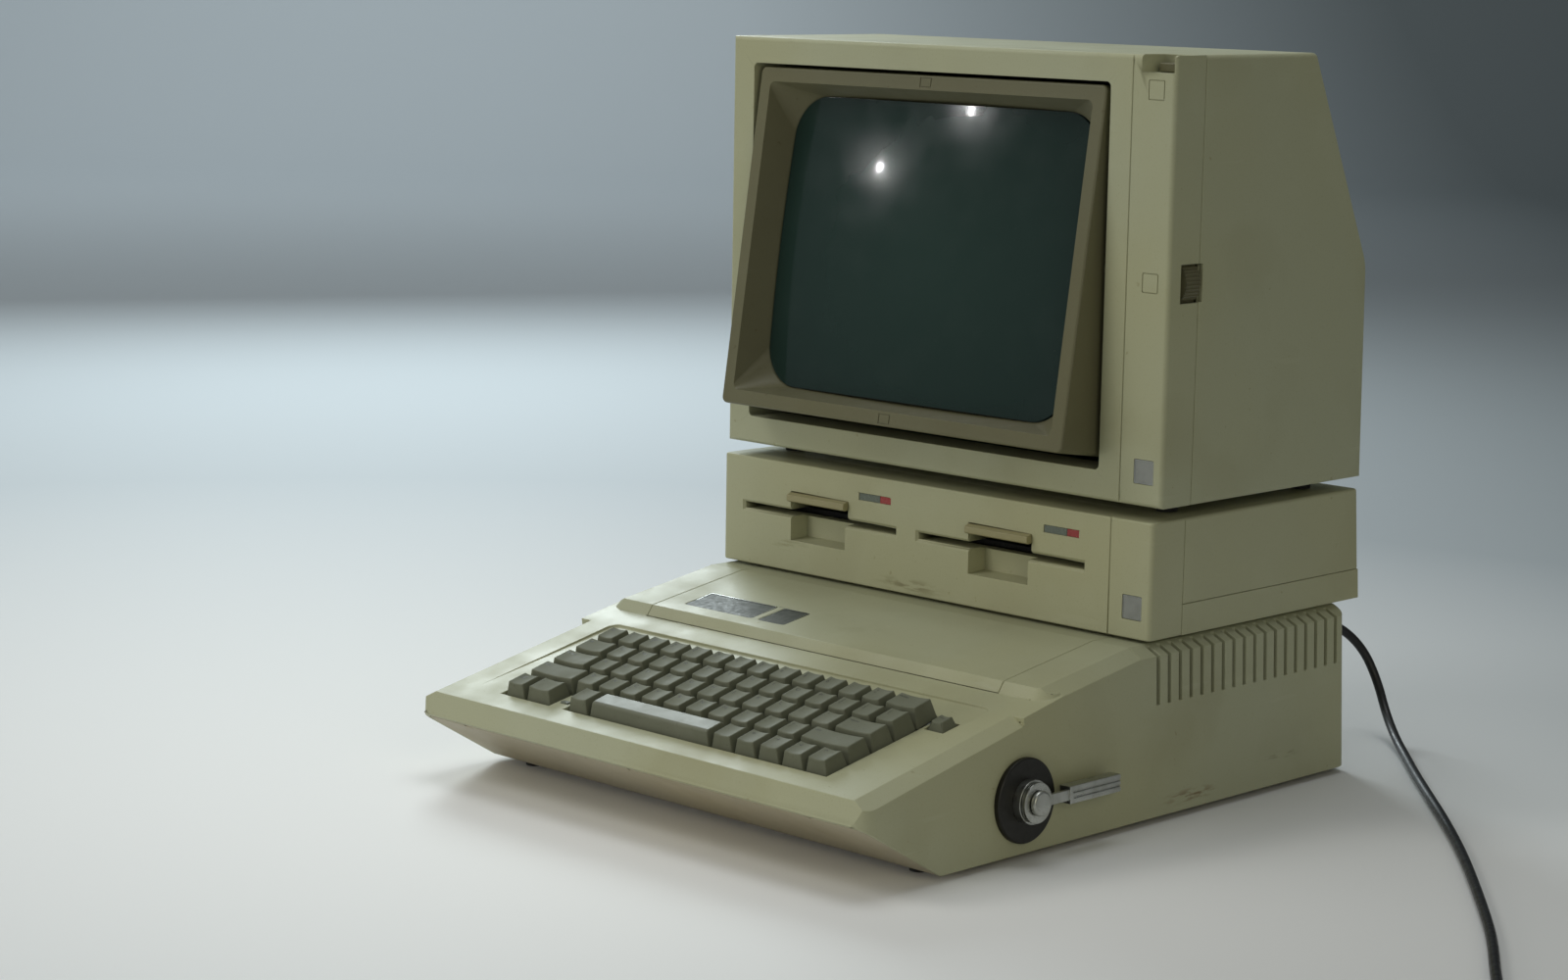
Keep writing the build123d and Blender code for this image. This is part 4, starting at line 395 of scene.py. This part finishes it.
def moulded(name, color, roughness=0.5, grain=0.035, dirt=0.4, marks=()):
    """Grained housing plastic, yellowed in patches, with specks, scuffs, stains and darker patches
    at places.
    """
    shader = Shader(name, color, roughness, specular=0.35)
    yellowed = scaled(color, (1.0, 0.95, 0.80))
    soiled = scaled(color, (0.66, 0.60, 0.48))
    pale = scaled(color, (1.10, 1.10, 1.12))
    shader.tint(shader.ramp(shader.noise(0.004, 2), 0.42, 0.66, 0, 0.7), yellowed)
    shader.tint(shader.ramp(shader.noise(0.011, 4), 0.52, 0.74, 0, dirt), soiled)
    shader.tint(shader.ramp(shader.noise(0.022, 4), 0.55, 0.78, 0, 0.45), pale)
    shader.tint(shader.ramp(shader.noise(0.9, 2), 0.60, 0.72, 0, 0.22), soiled)
    shader.tint(shader.ramp(shader.noise(0.16, 2), 0.74, 0.78, 0, 0.55), soiled)
    scuffs = shader.ramp(shader.noise(0.05, 5, (0.25, 0.25, 2.2)), 0.66, 0.72, 0, 0.35)
    shader.tint(scuffs, pale)
    for middle, reach, tone in marks:
        smear = shader.ramp(shader.noise(0.14, 5, (0.5, 0.5, 2.5)), 0.46, 0.60)
        shader.tint(shader.multiply(shader.spot(middle, reach), smear), tone)
    shader.roughen(shader.noise(0.03, 3), roughness - 0.08, roughness + 0.09)
    shader.bump(shader.noise(1.5, 2), grain)
    shader.bump(shader.noise(0.012, 1), 0.3)
    return shader.material


def key_plastic(name, smooth_to, rough_to, specular):
    """Brown-grey key plastic, smoother and darker where fingers have worn it."""
    shader = Shader(name, (0.148, 0.155, 0.110), rough_to, specular=specular)
    shader.tint(shader.ramp(shader.noise(0.05, 3), 0.45, 0.7, 0, 0.6), (0.180, 0.186, 0.138))
    shader.tint(shader.ramp(shader.noise(0.5, 3), 0.62, 0.74, 0, 0.4), (0.095, 0.096, 0.068))
    shader.roughen(shader.noise(0.08, 2), smooth_to, rough_to)
    shader.bump(shader.noise(2.2, 2), 0.02)
    return shader.material


def screen_glass():
    """Dark green-grey face of the picture tube, with a painted reflection that lightens its middle,
    and a trace of dust and fingerprints.
    """
    shader = Shader("screen_glass", (0.010, 0.026, 0.022), 0.10, specular=0.5, coat=0.3)
    # Painted reflection: the glass is painted a lighter teal in its middle and darker towards the
    # edges.
    shader.tint(shader.spot((-20, 4, 325), (150, 60, 115)), (0.017, 0.040, 0.033))
    shader.bsdf.inputs["Coat Roughness"].default_value = 0.04
    shader.roughen(shader.noise(0.05, 4), 0.09, 0.18)
    shader.tint(shader.ramp(shader.noise(0.03, 4), 0.5, 0.8, 0, 0.2), (0.030, 0.050, 0.043))
    shader.tint(shader.ramp(shader.noise(0.8, 2), 0.72, 0.76, 0, 0.3), (0.07, 0.08, 0.075))
    return shader.material


def metal(name, color, roughness, lines=(1, 1, 1)):
    """Worn metal with fine lines and dull patches."""
    shader = Shader(name, color, roughness, metallic=1.0)
    dull = scaled(color, (0.62, 0.61, 0.56))
    tarnished = scaled(color, (0.42, 0.38, 0.32))
    shader.tint(shader.ramp(shader.noise(0.10, 3), 0.45, 0.75, 0, 0.6), dull)
    shader.tint(shader.ramp(shader.noise(0.25, 3), 0.60, 0.80, 0, 0.5), tarnished)
    shader.roughen(shader.noise(0.15, 2, lines), roughness - 0.06, roughness + 0.12)
    shader.bump(shader.noise(0.7, 2, lines), 0.012)
    return shader.material


def plain(name, color, roughness, grain=0.015, coat=0.0):
    """Small moulded, lacquered or rubber pieces with light grain and uneven sheen."""
    shader = Shader(name, color, roughness, specular=0.4, coat=coat)
    darker = scaled(color, (0.68, 0.68, 0.66))
    paler = scaled(color, (1.7, 1.65, 1.55))
    shader.tint(shader.ramp(shader.noise(0.15, 3), 0.45, 0.7, 0, 0.45), darker)
    shader.tint(shader.ramp(shader.noise(0.7, 3), 0.66, 0.76, 0, 0.3), paler)
    shader.roughen(shader.noise(0.3, 2), max(0.04, roughness - 0.07), roughness + 0.09)
    shader.bump(shader.noise(2.0, 2), grain)
    return shader.material


CASE = (0.392, 0.402, 0.276)
BROWN = (0.20, 0.145, 0.075)
case_marks = (
    ((184, 28, 12), (8, 30, 5.5), BROWN),
    ((184, 36, 12), (8, 22, 4.5), BROWN),
    ((183, 122, 22), (6, 22, 3), scaled(CASE, (0.45, 0.42, 0.36))),
    # A darker patch on the top in front of the disk unit.
    ((-10, -80, 103), (60, 30, 6), scaled(CASE, (0.78, 0.75, 0.66))),
)
drive_marks = (
    ((-20, -4, 115), (34, 8, 6), scaled(CASE, (0.50, 0.45, 0.34))),
    ((-128, -4, 127), (20, 8, 5), scaled(CASE, (0.70, 0.66, 0.55))),
)
materials = {
    "case": moulded("case_plastic", CASE, marks=case_marks),
    "bezel": moulded("bezel_plastic", (0.142, 0.137, 0.082), 0.42, 0.02, 0.3),
    "keys": key_plastic("key_plastic", 0.62, 0.78, 0.16),
    "switches": plain("black_plastic", (0.018, 0.018, 0.018), 0.5),
    "plate_dark": plain("smoked_plate", (0.055, 0.062, 0.052), 0.55, 0.003),
    "glass": screen_glass(),
    "lens": plain("window", (0.115, 0.135, 0.105), 0.25, 0.003, 0.2),
    "lamp_red": plain("red_lamp", (0.30, 0.035, 0.030), 0.28, 0.003, 0.2),
    "lamp_amber": plain("pale_lamp", (0.17, 0.185, 0.15), 0.35, 0.003),
    "rubber": plain("foot_rubber", (0.022, 0.022, 0.022), 0.7, 0.03),
    "steel": metal("plated_steel", (0.52, 0.52, 0.50), 0.38),
    "chromed": metal("dull_chrome", (0.50, 0.51, 0.48), 0.27, (1, 0.08, 1)),
    "lock_black": plain("black_lacquer", (0.010, 0.009, 0.006), 0.42, 0.02),
    "aluminium": metal("cast_aluminium", (0.50, 0.50, 0.50), 0.45),
    "board": plain("board_lacquer", (0.02, 0.11, 0.05), 0.35),
    "chips": plain("chip_black", (0.02, 0.02, 0.02), 0.5),
    "yoke": plain("yoke_former", (0.18, 0.08, 0.03), 0.5),
    "cord": plain("cord_sheath", (0.013, 0.013, 0.014), 0.42, 0.02),
    "pan": moulded("pan_paint", (0.40, 0.365, 0.27), 0.5, 0.02, 0.4),
}
worn_keys = key_plastic("worn_key_plastic", 0.46, 0.56, 0.3)
latch_plastic = moulded("latch_plastic", scaled(CASE, (0.80, 0.72, 0.60)), 0.38, 0.015)
drive_plastic = moulded("drive_plastic", scaled(CASE, (1.04, 1.02, 0.98)), marks=drive_marks)
legend_paint = plain("legend_paint", (0.030, 0.028, 0.022), 0.5, 0.002)
badge_face = plain("badge_face", (0.26, 0.27, 0.255), 0.35, 0.004, 0.1)
badge_frame = metal("badge_frame", (0.50, 0.51, 0.50), 0.3)
tie_paint = plain("cord_tie", (0.05, 0.05, 0.05), 0.6)
# Dark paint for the sheets behind the slots: painted shade where the inside lies in shadow.
slot_shade_paint = plain("slot_shade_paint", (0.02, 0.02, 0.02), 0.9)


def dress_cad_nodes():
    """Gives every CAD node the finished material of its slot."""
    for entry in frame["record"]["subparts"]:
        for slot in nodes[entry["node"]].material_slots:
            slot.material = materials[entry["material_slot"]]


# ---------------------------------------------------------------- mains cord
def in_frame(point):
    """A point of the case's own frame, in millimetres, as one of the object's frame in metres."""
    return Vector((point[0] * MM + CASE_X, point[1] * MM, point[2] * MM))


def coil_points():
    """Turns of the put-away length, clockwise: three on the table and two on those."""
    leaving = PLUG_WAY + 90.0
    last_steps = round(((COIL_START - leaving) % 360) / 360 * COIL_STEPS)
    count = len(COIL_TURNS) * COIL_STEPS + last_steps
    points = []
    for i in range(2, count):
        radius, height = COIL_TURNS[min(i // COIL_STEPS, len(COIL_TURNS) - 1)]
        angle = math.radians(COIL_START - 360.0 * i / COIL_STEPS)
        x = COIL_MIDDLE[0] + radius * math.cos(angle)
        y = COIL_MIDDLE[1] + radius * math.sin(angle)
        points.append((x, y, height))
    return points


def add_cord():
    """The cord on one smooth line: connector, way along the table, coil and plug."""
    way, side = math.radians(PLUG_WAY), math.radians(PLUG_WAY + 90)
    tail = [
        (
            COIL_MIDDLE[0] + PLUG_RADIUS * math.cos(side) + reach * math.cos(way),
            COIL_MIDDLE[1] + PLUG_RADIUS * math.sin(side) + reach * math.sin(way),
            PLUG_HEIGHT,
        )
        for reach in (0.0, 12.0)
    ]
    points = [in_frame(point) for point in (CORD_START, *CORD_POINTS, *coil_points(), *tail)]
    line = bpy.data.curves.new("mains_lead", "CURVE")
    line.dimensions = "3D"
    line.bevel_depth = CORD_DIAMETER / 2
    line.bevel_resolution = 5
    spline = line.splines.new("NURBS")
    spline.points.add(len(points) - 1)
    for knot, point in zip(spline.points, points):
        knot.co = (*point, 1)
    spline.order_u = 3
    spline.use_endpoint_u = True
    spline.resolution_u = 6
    cord = new_object("mains_lead", line, materials["cord"])
    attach(cord, "computer")
    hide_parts("mains_cord", "cord_coil")


# ---------------------------------------------------------------- glass of the screen
def add_glass():
    """Polished bulged face of the picture tube, on its own fine mesh."""
    wide, high, corner = SCREEN_SIZE
    middle = Matrix.Translation(SCREEN_PLACE)
    lie = middle @ Matrix.Rotation(math.radians(90) - SCREEN_TILT, 4, "X")
    lie = lie @ Matrix.Translation((0, SCREEN_LOW, SCREEN_OUT - SCREEN_RADIUS))
    form = bmesh.new()
    centre = form.verts.new(lie @ Vector((0, 0, SCREEN_RADIUS)))
    outline = []
    for quarter in range(4):
        for step in range(GLASS_STEPS):
            degrees = 90 * quarter + 90 * step / GLASS_STEPS
            outline.append(corner_point(wide / 2, high / 2, corner, quarter, degrees))
        start_x, start_y = outline[-1]
        degrees = 90 * quarter + 90
        end_x, end_y = corner_point(wide / 2, high / 2, corner, quarter + 1, degrees)
        for step in range(1, GLASS_STEPS):
            share = step / GLASS_STEPS
            x = start_x + (end_x - start_x) * share
            y = start_y + (end_y - start_y) * share
            outline.append((x, y))
    rings = []
    for share in range(1, GLASS_STEPS + 1):
        ring = []
        for x, y in outline:
            px, py = x * share / GLASS_STEPS, y * share / GLASS_STEPS
            pz = math.sqrt(SCREEN_RADIUS**2 - px**2 - py**2)
            ring.append(form.verts.new(lie @ Vector((px, py, pz))))
        rings.append(ring)
    count = len(outline)
    for i in range(count):
        j = (i + 1) % count
        form.faces.new((centre, rings[0][i], rings[0][j]))
        for inner, outer in zip(rings, rings[1:]):
            form.faces.new((inner[i], outer[i], outer[j], inner[j]))
    face = form_object("screen_face", form, materials["glass"])
    smooth(face, 60)
    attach(face, "tilting_screen")


# ---------------------------------------------------------------- key legends
KEY_ROWS = {
    "number_keys": (1.5, 0, "1234567890-=", "!@#$%^&*()_+"),
    "upper_letter_keys": (2.0, 1, "QWERTYUIOP[]\\", "          {}|"),
    "home_letter_keys": (2.25, 2, "ASDFGHJKL;'", "         :\""),
    "lower_letter_keys": (2.75, 3, "ZXCVBNM,./", "       <>?"),
    "arrow_keys": (11.0, 4, "←→↓↑", "    "),
}
WORD_KEYS = {
    "escape_key": (0.5, 0, 1.0, "esc"),
    "delete_key": (13.75, 0, 1.5, "delete"),
    "tab_key": (0.75, 1, 1.5, "tab"),
    "control_key": (0.875, 2, 1.75, "control"),
    "return_key": (13.625, 2, 1.75, "return"),
    "left_shift_key": (1.125, 3, 2.25, "shift"),
    "right_shift_key": (13.375, 3, 2.25, "shift"),
    "caps_lock_key": (0.5, 4, 1.0, "caps\nlock"),
    "accent_key": (1.625, 4, 1.25, "~\n`"),
}
key_frame = Matrix.Translation(KEYS_CORNER) @ Matrix.Rotation(KEY_SLOPE, 4, "X")
# Height of the paint over the key top
PAINT_LIFT = 0.06 * MM


def text_form(form, words, size, middle, corner, crown, drop=0.0):
    """Adds flat lettering to a form, laid on the dished top of the key at a middle.

    Corner is the lettering's upper left from that middle, crown the width of the key's top, and
    drop how much lower than the other keys it lies.
    """
    curve = bpy.data.curves.new("legend", "FONT")
    curve.body = words
    curve.size = size
    curve.space_line = 0.9
    curve.align_y = "TOP"
    curve.resolution_u = 3
    holder = bpy.data.objects.new("legend", curve)
    scene.collection.objects.link(holder)
    graph = bpy.context.evaluated_depsgraph_get()
    mesh = bpy.data.meshes.new_from_object(holder.evaluated_get(graph))
    radius = ((crown / 2) ** 2 + KEY_DISH**2) / (2 * KEY_DISH)
    for vertex in mesh.vertices:
        across = corner[0] + vertex.co.x
        rise = radius - math.sqrt(radius**2 - across**2) - KEY_DISH
        along = middle[1] + corner[1] + vertex.co.y
        place = (middle[0] + across, along, rise + PAINT_LIFT - drop)
        vertex.co = key_frame @ Vector(place)
    form.from_mesh(mesh)
    bpy.data.objects.remove(holder)
    bpy.data.curves.remove(curve)
    bpy.data.meshes.remove(mesh)


def add_legends():
    """Generic lettering, painted dark; the two keys beside the space bar stay blank."""
    wide_crown = KEY_BASE - KEY_CROWN
    for node, (column, row, lower, upper) in KEY_ROWS.items():
        form = bmesh.new()
        for i, letter in enumerate(lower):
            middle = ((column + i) * KEY_UNIT, -row * KEY_UNIT + KEY_SHIFT)
            second = upper[i]
            words = letter if second == " " else f"{second}\n{letter}"
            size = 3.9 * MM if second == " " else 3.3 * MM
            text_form(form, words, size, middle, (-4.6 * MM, 5.4 * MM), KEY_CROWN)
        finish_legend(form, node)
    for node, (column, row, units, words) in WORD_KEYS.items():
        form = bmesh.new()
        middle = (column * KEY_UNIT, -row * KEY_UNIT + KEY_SHIFT)
        crown = units * KEY_UNIT - (KEY_UNIT - KEY_BASE) - wide_crown
        text_form(form, words, 2.7 * MM, middle, (1.6 * MM - crown / 2, 4.9 * MM), crown)
        finish_legend(form, node)
    form = bmesh.new()
    middle = (RESET_PLACE[0] * KEY_UNIT, RESET_PLACE[1] * KEY_UNIT + KEY_SHIFT)
    corner = (-3.2 * MM, 2.6 * MM)
    text_form(form, "reset", 2.1 * MM, middle, corner, RESET_CROWN, RESET_BELOW)
    finish_legend(form, "reset_key")


def finish_legend(form, node):
    """Turns a form with one node's lettering into a piece that moves with that node."""
    piece = form_object(f"{node}_legend", form, legend_paint)
    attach(piece, body_of(node))


# ---------------------------------------------------------------- small trim
def upright(x, y, z):
    """Frame on a front: x to the right, y up, z towards the user."""
    return Matrix.Translation((x, y, z)) @ Matrix.Rotation(math.radians(90), 4, "X")


def add_badges():
    """Blank square badges in the recesses of the disk unit and the monitor."""
    face_side, face_thick, face_corner = 13.8 * MM, 0.35 * MM, 0.8 * MM
    rim_side, rim_thick, rim_corner, border = 14.6 * MM, 0.6 * MM, 0.9 * MM, 0.6 * MM
    for name, node, beside, low in (
        ("drive_badge", "drive_bezel", 167.6, 19.0),
        ("monitor_badge", "monitor_frame", 169.5, 21.0),
    ):
        corner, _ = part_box(node)
        body = body_of(node)
        back = upright(CASE_X + beside * MM, corner[1] + 0.8 * MM, corner[2] + low * MM)
        face = plate(
            f"{name}_face", face_side, face_side, face_thick, face_corner, back, badge_face
        )
        rim = plate(
            f"{name}_rim", rim_side, rim_side, rim_thick, rim_corner, back, badge_frame, border
        )
        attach(face, body)
        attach(rim, body)


def add_name_plate_rims():
    """Thin light borders round the two blank name plates."""
    low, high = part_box("name_plates")
    slope = math.atan2(high[2] - low[2], high[1] - low[1])
    up = math.hypot(high[1] - low[1], high[2] - low[2])
    middle = (Vector(low) + Vector(high)) / 2
    thick, corner, border = 0.12 * MM, 1.6 * MM, 0.35 * MM
    for name, left, length in (("wide", -132.0, 61.0), ("narrow", -65.5, 23.0)):
        x = CASE_X + (left + length / 2) * MM
        lie = Matrix.Translation((x, middle.y, middle.z)) @ Matrix.Rotation(slope, 4, "X")
        lie = lie @ Matrix.Translation((0, 0, 0.35 * MM))
        wide, high = (length - 1.4) * MM, up - 1.6 * MM
        rim = plate(f"{name}_plate_rim", wide, high, thick, corner, lie, badge_frame, border)
        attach(rim, "lid")


def add_vent_shade_sheet():
    """Dark sheet inside the monitor behind the slots of its sloping rear, painted shade that makes
    the slots read dark.
    """
    place = Matrix.Translation(VENT_PLACE) @ Matrix.Rotation(VENT_SLOPE, 4, "X")
    shade_sheet = plate("vent_shade_sheet", 300.0 * MM, 46.0 * MM, 0.5 * MM, 2.0 * MM, place, slot_shade_paint)
    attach(shade_sheet, "monitor")


def add_side_shade_sheets():
    """Dark sheets inside the case behind the slots over both shoulders, painted shade that makes
    the slots read dark.
    """
    profile = ((174.5, 103.2), (175.7, 103.2), (183.85, 99.22), (185.05, 68.5))
    ends = (-8, 186)
    for hand, name in ((-1, "left"), (1, "right")):
        form = bmesh.new()
        front, rear = [
            [form.verts.new(in_frame((hand * x, run, z))) for x, z in profile] for run in ends
        ]
        for i in range(len(profile) - 1):
            form.faces.new((front[i], front[i + 1], rear[i + 1], rear[i]))
        shade_sheet = form_object(f"{name}_side_shade_sheet", form, slot_shade_paint)
        thick = shade_sheet.modifiers.new("thick", "SOLIDIFY")
        thick.thickness = 0.3 * MM
        apply_modifiers(shade_sheet)
        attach(shade_sheet, "computer")


def add_cord_tie():
    """Wire tie, a flattened ring, that holds the coil of spare cord together."""
    middle = in_frame((COIL_MIDDLE[0] - 33.0, COIL_MIDDLE[1] + 2.0, 6.3))
    flattened = (1.0, 0.62, 1.0)
    bpy.ops.mesh.primitive_torus_add(
        major_radius=9.6 * MM,
        minor_radius=0.8 * MM,
        major_segments=32,
        minor_segments=8,
        location=middle,
        rotation=(math.radians(90), 0, 0),
    )
    tie = bpy.context.object
    tie.name = "cord_tie"
    tie.data.materials.append(tie_paint)
    tie.scale = flattened
    bpy.ops.object.transform_apply(location=True, rotation=True, scale=True)
    smooth(tie, 60)
    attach(tie, "computer")


# ---------------------------------------------------------------- setting
def add_stage():
    """Pale floor that curves up into a grey wall behind the object, square to the camera."""
    near, floor_end, wall, top = -6.0, 5.2, 6.6, 6.0
    level, bend, half_width = -0.0002, 1.4, 8
    bend_steps = 12
    ahead = Vector((AHEAD.x, AHEAD.y, 0)).normalized()
    right = Vector((ahead.y, -ahead.x, 0))
    profile = [(near, level), (floor_end, level)]
    for step in range(1, bend_steps + 1):
        turn = math.radians(90 * step / bend_steps)
        profile.append((floor_end + bend * math.sin(turn), bend * (1 - math.cos(turn))))
    profile.append((wall, top))
    form = bmesh.new()
    rows = []
    for away, height in profile:
        foot = ahead * away + Vector((0, 0, height))
        rows.append([form.verts.new(foot + right * side) for side in (-half_width, half_width)])
    for a, b in zip(rows, rows[1:]):
        form.faces.new((a[0], a[1], b[1], b[0]))
    shader = Shader("cove_paint", (0.50, 0.54, 0.57), 0.65, specular=0.2)
    # Painted shade: the floor and wall are painted darker towards the right and higher up.
    across = shader.tree.nodes.new("ShaderNodeVectorMath")
    across.operation = "DOT_PRODUCT"
    across.inputs[1].default_value = right + Vector((0, 0, 0.35))
    shader.tree.links.new(shader.coords, across.inputs[0])
    shader.tint(shader.ramp(across.outputs["Value"], -0.1, 1.5, 0, 0.9), (0.12, 0.14, 0.145))
    # Painted pool of light: the floor is painted paler round the object.
    shader.tint(shader.spot((0, -250, 0), (1400, 1200, 60)), (0.90, 0.89, 0.88))
    shader.bump(shader.noise(0.05, 2), 0.03)
    cove = form_object("cove", form, shader.material)
    smooth(cove, 60)


def add_lights():
    """A dim sky and the lamps.

    Key light from high on the left, sheen from behind on the left, light from the top, a weak fill
    from the right, a low lamp in front that throws no reflections, two small ones for the glints on
    the glass, and one for the wall.
    """
    world = bpy.data.worlds.new("soft_sky")
    world.use_nodes = True
    sky = world.node_tree.nodes["Background"]
    sky.inputs["Color"].default_value = (0.90, 0.93, 0.92, 1)
    sky.inputs["Strength"].default_value = 0.15
    scene.world = world
    part, wall = (0, 0, 0.2), (-5.4, 3.9, 1.2)
    white = (1.0, 1.0, 1.0)
    for name, place, target, size, power, tone in (
        ("key_light", (-1.5, -1.5, 2.0), part, 1.0, 15.5, (1.0, 1.0, 0.94)),
        ("sheen_light", (-2.0, 1.1, 1.25), part, 0.8, 26.0, (0.88, 0.98, 1.0)),
        ("top_light", (-0.2, 0.2, 2.6), part, 1.6, 19.0, (0.96, 1.0, 1.0)),
        ("fill_light", (2.2, -1.2, 1.0), part, 1.3, 8.0, (1.0, 0.95, 0.72)),
        ("low_light", (-0.9, -2.3, 0.5), part, 0.9, 11.0, (1.0, 0.98, 0.92)),
        ("upper_glint", (-1.26, -1.434, 0.962), part, 0.02, 0.25, white),
        ("lower_glint", (-1.513, -1.316, 0.774), part, 0.02, 0.25, white),
        ("wall_light", (-3.7, 2.1, 3.4), wall, 0.8, 70.0, (0.88, 0.97, 1.0)),
    ):
        lamp = bpy.data.lights.new(name, "AREA")
        lamp.size = size
        lamp.energy = power
        lamp.color = tone
        holder = bpy.data.objects.new(name, lamp)
        holder.location = place
        holder.visible_glossy = name != "low_light"
        aim = Vector(target) - Vector(place)
        holder.rotation_euler = aim.to_track_quat("-Z", "Y").to_euler()
        scene.collection.objects.link(holder)


# ---------------------------------------------------------------- the object
add_camera()
dress_cad_nodes()
add_cord()
add_stage()
add_lights()

# Cutting the upper case's outer faces would leave a line on its flank, so only those that face
# down are cut.
soft_copy("upper_case", split=-0.2)
for housing in ("lid", "monitor_shell", "monitor_neck_cover"):
    soft_copy(housing)
soft_copy("monitor_frame", 0.4, least=15)
soft_copy("drive_bezel", 0.4, material=drive_plastic, least=15)
for housing in ("drive_cover", "drive_pan"):
    soft_copy(housing, 0.4, material=drive_plastic)
for latch in ("drive_latch_left", "drive_latch_right"):
    soft_copy(latch, 0.4, material=latch_plastic)
soft_copy("base_pan", 0.4)
soft_copy("tilt_bezel", 0.8, 3, clamp=True)
for keys in (*KEY_ROWS, *WORD_KEYS, "left_symbol_key", "right_symbol_key", "reset_key"):
    soft_copy(keys, 0.75, 3, 35, hollows=False)
soft_copy("space_bar", 0.75, 3, 35, material=worn_keys, hollows=False)
for trim in (
    "monitor_power_button",
    "contrast_wheel",
    "lock_plate",
    "lock_bolt",
    "lock_lever",
    "name_plates",
    "drive_windows",
    "drive_lamps",
    "power_lamp",
):
    soft_copy(trim, 0.3)
add_glass()
add_legends()
add_badges()
add_name_plate_rims()
add_vent_shade_sheet()
add_side_shade_sheets()
add_cord_tie()

scene.view_settings.view_transform = "Standard"
